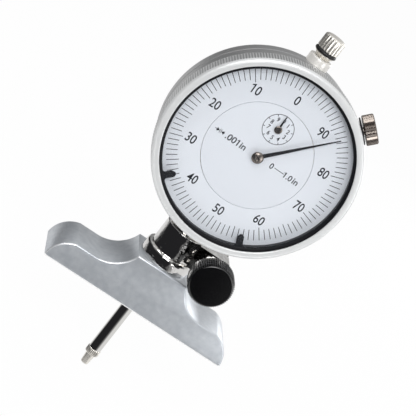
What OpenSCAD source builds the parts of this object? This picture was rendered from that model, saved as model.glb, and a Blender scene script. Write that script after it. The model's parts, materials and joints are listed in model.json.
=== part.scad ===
// Dial depth gauge: a one-inch dial indicator held in a split clamp on a shaped measuring base.
// Origin: centre of the measuring face, on the spindle axis. +Z runs up the stem, the dial faces -Y.

/* [Base] */
// Length of the measuring face
base_length = 60; // [58:0.5:90]
// Depth of the base, front to back
base_depth = 16.4; // [16:0.2:24]
// Height of the boss that carries the holder
base_height = 15; // [14:0.5:22]
// Thickness of the wings
wing_height = 7.8; // [6:0.1:7.9]
// Radius of the rounded wing ends
end_radius = 8; // [8:0.1:9]
// Radius of the scoops between boss and wings
scoop_radius = 10.2; // [9:0.1:11]
// Narrowest width of the boss, between the scoops
boss_width = 15.6; // [15.6:0.1:17]
// Depth to which the holder's spigot sits in the base
spigot_depth = 8; // [6:0.5:9]

/* [Holder] */
// Diameter of the spigot that is pressed in the base
spigot_d = 11; // [10.6:0.1:12]
// Diameter of the rounded ring at the holder's foot
ring_d = 15.2; // [14:0.1:15.4]
// Height of that ring
ring_height = 3.7; // [3:0.1:4.5]
// Diameter of the clamping barrel
holder_d = 12.6; // [12:0.1:13.4]
// Height of the holder above the base
holder_height = 11.5; // [11:0.5:16]
// Reach of the split ear from the stem's axis
ear_reach = 14.4; // [14:0.2:17]
// Depth of the split ear, front to back
ear_depth = 12; // [11:0.2:12.4]
// Width of the slit through barrel and ear
slit_width = 1; // [0.6:0.1:1.4]
// Distance of the clamp screw from the stem's axis
clamp_reach = 11.2; // [11:0.1:12]

/* [Clamp screw] */
// Diameter of the clamp screw
clamp_screw_d = 3; // [2.5:0.1:3.4]
// Diameter of the black knob
knob_d = 13.2; // [11:0.1:13.6]
// Thickness of the knurled part of the knob
knob_thickness = 5.8; // [4:0.1:7]
// Length of the knob's hub behind the knurled part
hub_length = 3.3; // [2.5:0.1:4]
// Number of knurls on the knob
knob_knurls = 64; // [48:1:72]
// Diameter of the knob's hub
knob_hub_d = 7.9; // [7:0.1:9]
// Diameter of the washer between hub and ear
washer_d = 8.4; // [8:0.1:9]

/* [Stem and spindle] */
// Diameter of the stem
stem_d = 8; // [7.6:0.1:8.6]
// Diameter of the spindle
spindle_d = 3.8; // [3.6:0.1:4]
// Length of spindle and contact point below the measuring face, fully out
reach_out = 24.3; // [22:0.1:26]
// Travel of the spindle
travel = 25.4; // [20:0.2:25.4]
// Height of stem left bare between holder and case
stem_gap = 4.1; // [3.8:0.1:6]
// Diameter of the hole that the spindle passes in the base
spindle_hole_d = 4.8; // [4.6:0.1:6]

/* [Contact point and cap] */
// Diameter of the contact point's knurled collar
collar_d = 4.2; // [4:0.1:4.4]
// Length of that collar
collar_length = 2; // [1.5:0.1:3]
// Length of the tapered tip
tip_length = 3.6; // [3:0.1:5]
// Diameter of the measuring end of the tip
tip_d = 2.3; // [1.5:0.1:2.8]
// Number of knurls on the collar
collar_knurls = 24; // [16:1:30]
// Diameter of the lifting cap
cap_d = 6.4; // [6:0.1:7]
// Length of the lifting cap's knurled part
cap_length = 4.2; // [3:0.1:6]
// Number of flutes round the lifting cap
cap_flutes = 22; // [16:1:30]

/* [Case and bezel] */
// Outer diameter of the case
case_d = 55.2; // [54.8:0.1:56]
// Thickness of the case wall behind the movement plate
case_wall = 5; // [4.6:0.1:5.2]
// Distance from the spindle's axis back to the cover
case_back = 6; // [5.6:0.1:7]
// Thickness of the back cover
cover_thickness = 1.6; // [1.2:0.1:2.4]
// Number of knurls round the bezel's rim
rim_knurls = 236; // [120:1:240]
// How far the bezel stands out past the case
bezel_overhang = 1; // [0.8:0.1:1.4]
// Width of the bezel's front face, from its edge to the opening
bezel_width = 2.25; // [2.1:0.05:2.4]
// Distance from the spindle's axis forward to the bezel's front
bezel_front = 15.3; // [15.1:0.1:16]
// Length of the bezel's rim, front to back
rim_length = 5.9; // [5.7:0.1:6]
// Depth of the dial below the bezel's front
dial_depth = 4.35; // [4.2:0.05:4.6]
// Angle of the bezel lock screw from twelve o'clock
lock_angle = 42.6; // [30:0.1:60]
// Diameter of the bezel lock knob
lock_knob_d = 8.4; // [7:0.1:9]
// Number of knurls on the bezel lock knob
lock_knob_knurls = 28; // [20:1:36]

/* [Hands and markers] */
// Width of the main hand at its hub
hand_width = 1.1; // [0.8:0.05:1.4]
// Gap from the main hand's tip to the bezel's opening
hand_margin = 3.55; // [3:0.05:5]
// Length of the counter hand
counter_hand_reach = 4.2; // [3:0.1:4.4]
// How far a limit marker reaches in from its slot
marker_reach = 4.2; // [3:0.1:5]
// Width of a limit marker
marker_width = 1.9; // [1.5:0.1:3]

/* [Movement] */
// Distance between the arbors of each gear pair
centre_distance = 9.3; // [9.2:0.05:9.4]
// Thickness of the toothed wheels
wheel_thickness = 0.8; // [0.6:0.05:1]
// Turns of the return spring
spring_turns = 14; // [10:1:15]
// Diameter of the return spring's wire
spring_wire = 0.4; // [0.3:0.02:0.44]
// Turns of the hairspring
hairspring_turns = 6; // [4:1:7]

/* [Hidden] */
$fn = 96;

// Clearances
seat_gap = 0.02;        // between pieces that are pressed or screwed together
run_gap = 0.03;         // radial, between a shaft and its bush
turn_gap = 0.05;        // radial, between the bezel and the case
side_gap = 0.1;         // between faces that pass each other
cut = 1;                // how far a cutting shape runs past the piece it cuts

// Radii and heights of the base and the holder
holder_foot = base_height;
holder_top = base_height + holder_height;
ring_top = holder_foot + ring_height;
stem_r = stem_d / 2;
spindle_r = spindle_d / 2;
ear_foot = ring_top + 0.5;
clamp_z = holder_foot + 6.7;
washer_thickness = 0.8;
washer_back = ear_depth / 2 + turn_gap;
hub_back = washer_back + washer_thickness + turn_gap;
knob_back = hub_back + hub_length;
knob_front = knob_back + knob_thickness;
knob_edge = 0.5;
knob_knurl_depth = 0.3;
screw_end = ear_depth / 2 + 0.5;
screw_depth = 3;
spigot_foot = holder_foot - spigot_depth;
stem_foot = spigot_foot + 1;
barrel_chamfer = 0.3;
stem_chamfer = 0.3;
bush_length = 5;
bush_r = stem_r - 0.9;

// Case and bezel, as distances from the dial's axis and forward of the spindle's axis
case_r = case_d / 2;
dial_z = holder_top + stem_gap + case_r;
bezel_r = case_r + bezel_overhang;
rim_back = bezel_front - rim_length;
case_front = rim_back - side_gap;
cavity_r = case_r - case_wall;
plate_front = 3.6;
plate_back = 2.4;
plate_thickness = plate_front - plate_back;
skirt_back = plate_front + 1;
seat_r = case_r - 1.9;
mouth_r = seat_r + 0.35;
skirt_r = mouth_r - turn_gap;
skirt_inner_r = skirt_r - 1;
groove_front = skirt_back + 1.2;
groove_back = skirt_back + 0.4;
taper_start = 1.5;
taper_r = case_r - 2;
stem_top = dial_z - cavity_r - 0.2;
plate_screw_d = 1.2;
plate_screw_head_d = 2;
plate_screw_length = 4.6;
cover_r = taper_r - 0.3;
cover_chamfer = 0.6;
cover_back = case_back + cover_thickness;
cover_screw_d = 1.4;
cover_screw_head_d = 2.4;
cover_screw_head = 0.75;
groove_depth = 0.45;
opening_r = bezel_r - bezel_width;
bezel_bore_r = opening_r + 0.65;
lip = 0.4;
dial_y = bezel_front - dial_depth;
dial_thickness = 0.5;
dial_back = dial_y - dial_thickness;
rim_round = 0.9;
rim_knurl_depth = 0.17;
crystal_thickness = 1.2;
crystal_front = bezel_front - 1;
crystal_back = crystal_front - crystal_thickness;
inner_ring_r = opening_r - 0.45;
marker_slot = 0.6;
marker_slot_r = opening_r + 0.15;
dial_centre_r = 15.25;
dial_foot_spots = [[-10.5, 0], [10.5, 3]];
dial_foot_d = 2;
centre_hole_d = 2.4;
counter_hole_d = 1.6;
snap_wire_d = 0.66;

// Bezel lock
lock_y = 7.4;
lock_pad_d = 2.4;
lock_screw_d = 2;
lock_travel = 0.29;
lock_pad_z = skirt_r + lock_travel + run_gap;
lock_pad_thickness = 0.63;
lock_screw_z = lock_pad_z + lock_pad_thickness + turn_gap;
lock_boss_d = 3.7;
lock_boss_top = bezel_r + side_gap;
lock_washer_thickness = 0.35;
lock_washer_z = lock_boss_top + turn_gap;
lock_head_z = lock_washer_z + lock_washer_thickness + lock_travel + turn_gap;
lock_head_length = 3.3;
lock_head_edge = 0.3;
lock_knurl_depth = 0.3;

// Spindle and its rack
bushing_r = spindle_r + 0.7;
bushing_head_r = spindle_r + 1.55;
bushing_chamfer = 0.4;
cap_rest = dial_z + case_r + 2.4;
bushing_top = cap_rest - side_gap;
spindle_foot = collar_length + tip_length - reach_out;
tip_taper = 0.6;
tip_stud_d = 2;
tip_stud_length = 3;
collar_knurl_depth = 0.15;
cap_stud_d = 2.6;
cap_stud_length = 4;
cap_foot_d = 4;
cap_neck_d = 5.8;
cap_groove_d = 4.6;
cap_groove_z = cap_rest + 1.2;
cap_body_z = cap_groove_z + 1.1;
cap_dome = 0.35;
cap_flute_depth = 0.3;
bumper_wire_d = 1;
rack_pinion_teeth = 16;
rack_addendum = 0.9;
rack_dedendum = 1.25;
rack_teeth_count = 20;
rack_pitch = 25.4 / 16;
rack_module = rack_pitch / PI;
rack_line = -1.1;
rack_pinion_r = rack_module * rack_pinion_teeth / 2;
pinion_x = rack_line - rack_pinion_r;
pinion_z = dial_z - sqrt(pow(centre_distance, 2) - pow(pinion_x, 2));
rack_teeth_above = 2;
pinion_width = 1.6;

// Gear train, all in the plane of the wheels
wheel_teeth = 100;
centre_teeth = 10;
wheel_module = 2 * centre_distance / (wheel_teeth + centre_teeth);
wheel_front = 5.4;
wheel_back = wheel_front - wheel_thickness;
take_up_z = dial_z + centre_distance;
bridge_front = 8.2;
bridge_back = 7.2;
bridge_r = 18.5;
pillar_spots = [[13.5, -6.2], [-14.5, 5.8], [12.5, 7.8]];
pillar_d = 2.6;
pillar_screw_d = 1;
pillar_screw_length = 2;
screw_slot = 0.3;
plate_screw_angles = [20, 160, 200, 340];
cover_screw_angles = [45, 135, 225, 315];
rack_bridge_front = 2.6;
rack_bridge_back = 3.6;
rack_post_d = 2.4;
rack_bridge_d = 3.6;
rivet_d = 1.2;
rivet_head_d = 2.2;
rivet_head = 0.5;
rack_post_x = -2;
rack_post_reach = 6;
bush_d = 2.2;
hairspring_r = [0.95, 4.8];
hairspring_points = 20;
hairspring_front = 6.4;
hairspring_width = 0.4;
hairspring_strip = 0.12;
stud_d = 0.8;
stud_x = hairspring_r[1] + hairspring_strip + stud_d / 2 - seat_gap;

// Guide pin, rail and return spring
guide_z = dial_z + cavity_r - travel - 3.4;
rail_x = 4;
rail_width = 2;
rail_back = 1.8;
pin_r = 0.6;
spring_x = 7.9;
spring_coil_r = 1.4;
spring_foot = dial_z - cavity_r + 2.9;
spring_head = guide_z - pin_r;
spring_ring_points = 8;
spring_sides = 6;

// Hands
main_hand_y = 12.2;
main_hand_thickness = 0.35;
main_hand_angle = 42.5;
main_hand_reach = opening_r - hand_margin;
main_hand_tip = 0.2;
main_hub_d = 3;
main_cap_d = 3.4;
main_cap_height = 0.75;
counter_hand_y = 11.5;
counter_hand_thickness = 0.3;
counter_hand_angle = -4;
counter_hand_width = 0.7;
counter_hand_tip = 0.16;
counter_hub_d = 2.2;
arbor_r = 0.5;
marker_tip_r = marker_slot_r - marker_reach;
marker_foot_width = marker_width + 0.9;
marker_angles = [-136.4, 154.8];

echo(spring_least_gap = min([for (i = [0 : spring_ring_points])
    norm(spring_point(1 + i / spring_ring_points) - spring_point(i / spring_ring_points))]) - spring_wire);

function spring_pitch() = (spring_head - spring_foot - spring_wire - 2 * turn_gap) / spring_turns;

// A round bar along Y, from y0 to y1, at (x, z)
module bar_y(d, y0, y1, x = 0, z = 0) {
    translate([x, y0, z]) rotate([-90, 0, 0]) cylinder(d = d, h = y1 - y0);
}

// A flat outline in X and Z with its front at y = -front, going back by its thickness
module plate_y(front, thickness) {
    translate([0, thickness - front, 0]) rotate([90, 0, 0]) linear_extrude(thickness) children();
}

// A turned piece on the dial's axis; each point is [radius, distance forward of the spindle's axis]
module turned_y(points) {
    translate([0, 0, dial_z]) rotate([90, 0, 0]) rotate_extrude() polygon(points);
}

// A turned piece on the spindle's axis; each point is [radius, height]
module turned_z(points) {
    rotate_extrude() polygon(points);
}

// Places its children on the axis of the bezel lock screw, +Z pointing outwards
module at_lock() {
    translate([0, -lock_y, dial_z]) rotate([0, lock_angle, 0]) children();
}

// A knurled bar: straight teeth all round
module knurled(d, h, teeth, depth) {
    step = 360 / teeth;
    linear_extrude(h) polygon([for (i = [0 : teeth - 1], side = [0, 1])
        (d / 2 - depth * side) * [cos((i + side / 2) * step), sin((i + side / 2) * step)]]);
}

// Involute gear outline: tooth thinned by the backlash, addendum and dedendum in modules
function involute(a) = (tan(a) - a * PI / 180);
function flank_angle(r, base_r) = r <= base_r ? 0 : involute(acos(base_r / r)) * 180 / PI;
function gear_points(teeth, m, add, ded, backlash) =
    let (pitch_r = m * teeth / 2,
        base_r = pitch_r * cos(20),
        tip_r = pitch_r + add * m,
        root_r = pitch_r - ded * m,
        half = 90 / teeth - backlash / pitch_r * 90 / PI,
        start_r = max(root_r, base_r),
        radii = [root_r, start_r + (tip_r - start_r) * 0.35, start_r + (tip_r - start_r) * 0.7, tip_r],
        at = [for (r = radii) half + flank_angle(pitch_r, base_r) - flank_angle(r, base_r)])
    [for (i = [0 : teeth - 1]) each concat(
        [for (k = [0 : 3]) radii[k] * [cos(i * 360 / teeth - at[k]), sin(i * 360 / teeth - at[k])]],
        [for (k = [3 : -1 : 0]) radii[k] * [cos(i * 360 / teeth + at[k]), sin(i * 360 / teeth + at[k])]])];

module gear_2d(teeth, m, add, ded, backlash, turn = 0) {
    rotate(turn) polygon(gear_points(teeth, m, add, ded, backlash));
}

// ---- Base and holder ----

module base_block() {
    end_x = base_length / 2 - end_radius;
    scoop_x = boss_width / 2 + scoop_radius;
    color([0.62, 0.64, 0.66]) difference() {
        union() {
            translate([-end_x, -base_depth / 2, 0]) cube([2 * end_x, base_depth, wing_height]);
            intersection() {
                for (side = [-1, 1]) bar_y(2 * end_radius, -base_depth / 2, base_depth / 2, side * end_x);
                translate([-base_length, -base_depth, 0])
                    cube([2 * base_length, 2 * base_depth, wing_height]);
            }
            translate([-scoop_x, -base_depth / 2, 0]) cube([2 * scoop_x, base_depth, base_height]);
        }
        for (side = [-1, 1])
            bar_y(2 * scoop_radius, -base_depth / 2 - cut, base_depth / 2 + cut,
                side * scoop_x, wing_height + scoop_radius - seat_gap);
        translate([0, 0, spigot_foot]) cylinder(d = spigot_d + 2 * seat_gap, h = spigot_depth + cut);
        translate([0, 0, -cut]) cylinder(d = spindle_hole_d, h = base_height);
    }
}

module stem_holder() {
    ring_r = ring_d / 2;
    round_r = ring_r - holder_d / 2;
    ring_round = [for (a = [0 : 15 : 90])
        [ring_r - round_r + round_r * cos(a), ring_top - round_r + round_r * sin(a)]];
    color([0.8, 0.8, 0.8]) difference() {
        union() {
            turned_z(concat([[0, spigot_foot], [spigot_d / 2, spigot_foot],
                [spigot_d / 2, holder_foot], [ring_r, holder_foot]], ring_round,
                [[holder_d / 2, holder_top - barrel_chamfer], [holder_d / 2 - barrel_chamfer, holder_top],
                    [0, holder_top]]));
            translate([0, -ear_depth / 2, ear_foot]) cube([ear_reach, ear_depth, holder_top - ear_foot]);
        }
        translate([0, 0, spigot_foot - cut])
            cylinder(d = stem_d + 2 * run_gap, h = holder_height + spigot_depth + 2 * cut);
        translate([0, -slit_width / 2, ear_foot]) cube([ear_reach + cut, slit_width, holder_height]);
        bar_y(clamp_screw_d + 4 * turn_gap, -ear_depth, 0, clamp_reach, clamp_z);
        bar_y(clamp_screw_d + 2 * run_gap, -slit_width, ear_depth, clamp_reach, clamp_z);
    }
}

module clamp_washer() {
    color([0.7, 0.7, 0.7]) difference() {
        bar_y(washer_d, -washer_back - washer_thickness, -washer_back, clamp_reach, clamp_z);
        bar_y(clamp_screw_d + 2 * turn_gap, -knob_front, 0, clamp_reach, clamp_z);
    }
}

module clamp_screw() {
    color([0.6, 0.6, 0.6]) bar_y(clamp_screw_d, -knob_back - screw_depth, screw_end, clamp_reach, clamp_z);
}

module clamp_knob() {
    color([0.05, 0.05, 0.05]) difference() {
        union() {
            bar_y(knob_hub_d, -knob_back - cut, -hub_back, clamp_reach, clamp_z);
            translate([clamp_reach, -knob_back, clamp_z]) rotate([90, 0, 0])
                knurled(knob_d, knob_thickness - knob_edge, knob_knurls, knob_knurl_depth);
            bar_y(knob_d - 2 * knob_edge, -knob_front, -knob_back - cut, clamp_reach, clamp_z);
        }
        bar_y(clamp_screw_d + 2 * seat_gap, -knob_back - screw_depth - seat_gap, 0, clamp_reach, clamp_z);
    }
}

// ---- Stem, case and bushings ----

module case_outside() {
    bar_y(case_d + 2 * seat_gap, -case_front, case_back, 0, dial_z);
}

module stem() {
    color([0.78, 0.78, 0.78]) difference() {
        union() {
            turned_z([[0, stem_foot], [stem_r - stem_chamfer, stem_foot], [stem_r, stem_foot + stem_chamfer],
                [stem_r, stem_top], [0, stem_top]]);
            difference() {
                turned_z([[0, holder_top + 0.5], [stem_r + 1, holder_top + 0.5],
                    [stem_r + 1.6, holder_top + 1.1], [stem_r + 1.6, dial_z - case_r + 1.5],
                    [0, dial_z - case_r + 1.5]]);
                case_outside();
            }
        }
        translate([0, 0, stem_foot - cut])
            cylinder(r = spindle_r + 0.35, h = stem_top - stem_foot + 2 * cut);
        translate([0, 0, stem_foot - cut]) cylinder(r = bush_r + seat_gap, h = bush_length + cut);
        translate([0, 0, stem_top - bush_length]) cylinder(r = bush_r + seat_gap, h = bush_length + cut);
    }
}

module stem_bushes() {
    color([0.8, 0.65, 0.3]) for (z = [stem_foot, stem_top - bush_length]) difference() {
        translate([0, 0, z]) cylinder(r = bush_r, h = bush_length);
        translate([0, 0, z - cut]) cylinder(r = spindle_r + run_gap, h = bush_length + 2 * cut);
    }
}

module case() {
    lock_hole_z = skirt_inner_r;
    color([0.7, 0.7, 0.71]) difference() {
        union() {
            turned_y([[mouth_r, case_front], [case_r, case_front], [case_r, -taper_start],
                [taper_r, -case_back], [cavity_r, -case_back], [cavity_r, plate_back],
                [seat_r, plate_back], [seat_r, plate_back + 2], [mouth_r, plate_back + 2],
                [mouth_r, groove_back], [mouth_r + groove_depth, groove_back],
                [mouth_r + groove_depth, groove_front], [mouth_r, groove_front]]);
            at_lock() translate([0, 0, case_r - cut])
                cylinder(d = lock_boss_d, h = lock_boss_top - case_r + cut);
        }
        translate([0, 0, holder_top]) cylinder(r = stem_r + seat_gap, h = case_r);
        translate([0, 0, dial_z]) cylinder(r = bushing_r + seat_gap, h = case_r + cut);
        at_lock() {
            translate([0, 0, lock_hole_z])
                cylinder(d = lock_pad_d + 4 * run_gap, h = lock_screw_z + lock_travel - lock_hole_z);
            translate([0, 0, lock_hole_z])
                cylinder(d = lock_screw_d + 2 * turn_gap, h = 2 * lock_travel + case_wall);
        }
        for (a = plate_screw_angles) plate_screw_place(a)
            bar_y(plate_screw_d + 2 * seat_gap, -plate_front,
                plate_screw_length - plate_front + 2 * side_gap);
        for (a = cover_screw_angles) cover_screw_place(a)
            bar_y(cover_screw_d + 2 * seat_gap, 2, case_back + cut);
    }
}

// Places its children at a screw's spot round the dial's axis
module plate_screw_place(a) {
    r = (cavity_r + seat_r) / 2;
    translate([r * cos(a), 0, dial_z + r * sin(a)]) children();
}

module cover_screw_place(a) {
    r = (cavity_r + taper_r) / 2;
    translate([r * cos(a), 0, dial_z + r * sin(a)]) children();
}

module top_bushing() {
    color([0.8, 0.8, 0.78]) difference() {
        turned_z([[0, dial_z + cavity_r + 2 * side_gap], [bushing_r, dial_z + cavity_r + 2 * side_gap],
            [bushing_r, dial_z + case_r], [0, dial_z + case_r]]);
        translate([0, 0, dial_z]) cylinder(r = spindle_r + run_gap, h = 2 * case_r);
    }
    color([0.8, 0.8, 0.78]) difference() {
        turned_z([[0, dial_z + case_r - cut], [bushing_head_r, dial_z + case_r - cut],
            [bushing_head_r, bushing_top - bushing_chamfer], [bushing_head_r - bushing_chamfer, bushing_top],
            [0, bushing_top]]);
        case_outside();
        translate([0, 0, dial_z]) cylinder(r = spindle_r + run_gap, h = 2 * case_r);
    }
}

module back_cover() {
    color([0.72, 0.72, 0.73]) difference() {
        turned_y([[0, -case_back], [cover_r, -case_back], [cover_r, cover_chamfer - cover_back],
            [cover_r - cover_chamfer, -cover_back], [0, -cover_back]]);
        for (a = cover_screw_angles) cover_screw_place(a) {
            bar_y(cover_screw_d + 2 * seat_gap, 0, cover_back + cut);
            bar_y(cover_screw_head_d + 2 * seat_gap, cover_back - cover_screw_head - turn_gap,
                cover_back + cut);
        }
    }
}

module back_cover_screws() {
    back_y = cover_back - run_gap;
    head_y = back_y - cover_screw_head;
    color([0.6, 0.6, 0.6]) for (a = cover_screw_angles) cover_screw_place(a) difference() {
        union() {
            bar_y(cover_screw_d, 2 + side_gap, head_y + 0.4);
            bar_y(cover_screw_head_d, head_y, back_y);
        }
        translate([-cover_screw_head_d, back_y - 0.35, -screw_slot / 2])
            cube([2 * cover_screw_head_d, cut, screw_slot]);
    }
}

// ---- Bezel, crystal and dial ----

module bezel() {
    root_r = bezel_r - rim_knurl_depth - side_gap;
    rim_front = bezel_front - rim_round;
    knurl_back = rim_back + side_gap;
    color([0.86, 0.86, 0.85]) {
        turned_y([[opening_r, bezel_front], [bezel_r - rim_round, bezel_front],
            [bezel_r - 0.2, bezel_front - 0.3], [bezel_r, rim_front], [bezel_r, rim_front - 2 * side_gap],
            [root_r, rim_front - 2 * side_gap], [root_r, rim_back], [skirt_r, rim_back],
            [skirt_r, groove_front], [skirt_r - groove_depth, groove_front],
            [skirt_r - groove_depth, groove_back], [skirt_r, groove_back],
            [skirt_r, skirt_back], [skirt_inner_r, skirt_back], [skirt_inner_r, dial_back],
            [bezel_bore_r, dial_back], [bezel_bore_r, bezel_front - lip], [opening_r, bezel_front - lip]]);
        translate([0, -knurl_back, dial_z]) rotate([90, 0, 0]) difference() {
            knurled(2 * (bezel_r - seat_gap), rim_front - side_gap - knurl_back, rim_knurls,
                rim_knurl_depth);
            translate([0, 0, -cut]) cylinder(r = bezel_bore_r + side_gap, h = rim_length + 2 * cut);
        }
    }
}

module crystal() {
    color([0.8, 0.9, 1, 0.3])
        bar_y(2 * opening_r - 0.1, -crystal_front, -crystal_back, 0, dial_z);
}

module crystal_gasket() {
    outer_r = bezel_bore_r - seat_gap;
    color([0.05, 0.05, 0.05]) turned_y([[opening_r - seat_gap, bezel_front - lip],
        [outer_r, bezel_front - lip], [outer_r, crystal_back], [opening_r - seat_gap, crystal_back]]);
}

module inner_ring() {
    outer_r = bezel_bore_r - seat_gap;
    color([0.05, 0.05, 0.05]) turned_y([[marker_slot_r, crystal_back], [outer_r, crystal_back],
        [outer_r, dial_y], [inner_ring_r, dial_y], [inner_ring_r, crystal_back - marker_slot],
        [marker_slot_r, crystal_back - marker_slot]]);
}

// The outer scale, which turns with the bezel
module dial_ring() {
    color([0.93, 0.95, 0.98]) difference() {
        bar_y(2 * (bezel_bore_r - seat_gap), -dial_y, -dial_back, 0, dial_z);
        bar_y(2 * (dial_centre_r + side_gap), -dial_y - cut, 0, 0, dial_z);
    }
}

// The middle of the dial, which stands on the front bridge and doesn't turn
module dial_centre() {
    color([0.93, 0.95, 0.98]) {
        difference() {
            bar_y(2 * dial_centre_r, -dial_y, -dial_back, 0, dial_z);
            bar_y(centre_hole_d, -dial_y - cut, 0, 0, dial_z);
            bar_y(counter_hole_d, -dial_y - cut, 0, 0, take_up_z);
        }
        for (p = dial_foot_spots) bar_y(dial_foot_d, -dial_back, -bridge_front, p[0], dial_z + p[1]);
    }
}

module bezel_snap_ring() {
    color([0.5, 0.5, 0.5]) translate([0, -(groove_front + groove_back) / 2, dial_z]) rotate([90, 0, 0])
        rotate_extrude(angle = 350, start = 95)
            translate([(skirt_r + mouth_r) / 2, 0]) circle(d = snap_wire_d);
}

module marker(angle) {
    outer_r = marker_slot_r - turn_gap;
    half = marker_width / 2;
    half_foot = marker_foot_width / 2;
    foot_r = marker_slot_r - 0.9;
    arc = [for (a = [6 : -2 : -6]) outer_r * [sin(a), cos(a)]];
    color([0.08, 0.08, 0.08]) translate([0, 0, dial_z]) rotate([0, angle, 0])
        plate_y(crystal_back - turn_gap, marker_slot - 2 * turn_gap) polygon(concat(
            [[-half_foot, foot_r], [-half, foot_r - 0.4], [-half, marker_tip_r + 0.6],
                [-half * 0.5, marker_tip_r], [half * 0.2, marker_tip_r], [half, marker_tip_r + 0.9],
                [half, foot_r - 0.4], [half_foot, foot_r]], arc));
}

module marker_left() { marker(marker_angles[0]); }

module marker_right() { marker(marker_angles[1]); }

module bezel_lock_pad() {
    color([0.7, 0.55, 0.3]) at_lock() translate([0, 0, lock_pad_z])
        cylinder(d = lock_pad_d, h = lock_pad_thickness);
}

module bezel_lock_washer() {
    color([0.15, 0.15, 0.15]) at_lock() translate([0, 0, lock_washer_z]) difference() {
        cylinder(d = lock_knob_d * 0.9, h = lock_washer_thickness);
        translate([0, 0, -cut]) cylinder(d = lock_screw_d + 2 * turn_gap, h = 3 * cut);
    }
}

module bezel_lock_knob() {
    color([0.72, 0.68, 0.62]) at_lock() {
        translate([0, 0, lock_screw_z]) cylinder(d = lock_screw_d, h = lock_head_z - lock_screw_z + 1);
        translate([0, 0, lock_head_z])
            knurled(lock_knob_d, lock_head_length - lock_head_edge, lock_knob_knurls, lock_knurl_depth);
        translate([0, 0, lock_head_z + cut])
            cylinder(d = lock_knob_d - 2 * lock_head_edge - 0.1, h = lock_head_length - cut);
    }
}

// ---- Movement frame ----

module movement_plate() {
    notch = stem_d + 1;
    color([0.8, 0.7, 0.4]) difference() {
        bar_y(2 * (seat_r - turn_gap), -plate_front, -plate_back, 0, dial_z);
        translate([-notch / 2, -plate_front - cut, dial_z - case_r])
            cube([notch, 3 * cut + plate_thickness, case_wall + 0.6]);
        translate([-notch / 2, -plate_front - cut, dial_z + cavity_r - 0.6])
            cube([notch, 3 * cut + plate_thickness, case_wall]);
        bar_y(3, -plate_front - cut, 0, pinion_x, pinion_z);
        bar_y(bush_d + 2 * seat_gap, -plate_front - cut, 0, 0, dial_z);
        bar_y(bush_d + 2 * seat_gap, -plate_front - cut, 0, 0, take_up_z);
        for (a = plate_screw_angles) plate_screw_place(a)
            bar_y(plate_screw_d + 2 * seat_gap, -plate_front - cut, 0);
        for (p = pillar_spots)
            bar_y(rivet_d + 2 * seat_gap, -plate_front - cut, 0, p[0], dial_z + p[1]);
    }
}

module plate_screws() {
    color([0.6, 0.6, 0.6]) for (a = plate_screw_angles) plate_screw_place(a) {
        bar_y(plate_screw_d, -plate_front - side_gap, plate_screw_length - plate_front);
        bar_y(plate_screw_head_d, -plate_front - 0.6, -plate_front);
    }
}

module front_bridge() {
    color([0.8, 0.7, 0.4]) difference() {
        bar_y(2 * bridge_r, -bridge_front, -bridge_back, 0, dial_z);
        for (spot = [[0, dial_z], [0, take_up_z], [pinion_x, pinion_z]])
            bar_y(bush_d + 2 * seat_gap, -bridge_front - cut, 0, spot[0], spot[1]);
        for (p = pillar_spots)
            bar_y(pillar_screw_d + 2 * seat_gap, -bridge_front - cut, 0, p[0], dial_z + p[1]);
        bar_y(7, -bridge_front - cut, 0, 8.5, dial_z);
        bar_y(9, -bridge_front - cut, 0, 4, dial_z - 11.5);
        bar_y(6, -bridge_front - cut, 0, -9, dial_z + 12);
        bar_y(stud_d + 2 * seat_gap, -bridge_front - cut, 0, stud_x, take_up_z);
    }
}

module bridge_pillars() {
    color([0.75, 0.65, 0.4]) for (p = pillar_spots) difference() {
        union() {
            bar_y(pillar_d, -bridge_back, -plate_front, p[0], dial_z + p[1]);
            bar_y(rivet_d, -plate_front - rivet_head, -plate_back, p[0], dial_z + p[1]);
        }
        bar_y(pillar_screw_d + 2 * seat_gap, -bridge_back - cut, pillar_screw_length - bridge_back,
            p[0], dial_z + p[1]);
    }
}

module bridge_screws() {
    color([0.6, 0.6, 0.6]) for (p = pillar_spots) difference() {
        union() {
            bar_y(pillar_screw_d, -bridge_front - side_gap, pillar_screw_length - bridge_back - side_gap,
                p[0], dial_z + p[1]);
            bar_y(2.2 * pillar_screw_d, -bridge_front - 0.8 * pillar_screw_d, -bridge_front,
                p[0], dial_z + p[1]);
        }
        translate([p[0] - pillar_d, -bridge_front - 1.8 * pillar_screw_d, dial_z + p[1] - screw_slot / 2])
            cube([2 * pillar_d, 1.4 * pillar_screw_d, screw_slot]);
    }
}

module rack_post_place(side) {
    translate([pinion_x + rack_post_x, 0, pinion_z + side * rack_post_reach]) children();
}

module rack_bridge() {
    half = rack_bridge_d / 2 - seat_gap;
    color([0.8, 0.7, 0.4]) difference() {
        union() {
            translate([pinion_x + rack_post_x - half, rack_bridge_front, pinion_z - rack_post_reach])
                cube([2 * half, rack_bridge_back - rack_bridge_front, 2 * rack_post_reach]);
            for (side = [-1, 1]) rack_post_place(side)
                bar_y(rack_bridge_d, rack_bridge_front, rack_bridge_back);
            bar_y(rack_bridge_d, rack_bridge_front, rack_bridge_back, pinion_x, pinion_z);
        }
        bar_y(bush_d + 2 * seat_gap, 0, 2 * rack_bridge_front, pinion_x, pinion_z);
        for (side = [-1, 1]) rack_post_place(side) bar_y(rivet_d + 2 * seat_gap, 0, 2 * rack_bridge_back);
    }
}

module rack_bridge_posts() {
    color([0.75, 0.65, 0.4]) for (side = [-1, 1]) rack_post_place(side) {
        bar_y(rack_post_d, -plate_back, rack_bridge_front);
        bar_y(rivet_d, rack_bridge_front - rivet_head, rack_bridge_back + rivet_head / 2);
        bar_y(rivet_head_d, rack_bridge_back, rack_bridge_back + rivet_head);
    }
}

module pivot_bush(y0, y1, x, z, r) {
    difference() {
        bar_y(bush_d, y0, y1, x, z);
        bar_y(2 * (r + run_gap), y0 - cut, y1 + cut, x, z);
    }
}

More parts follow.
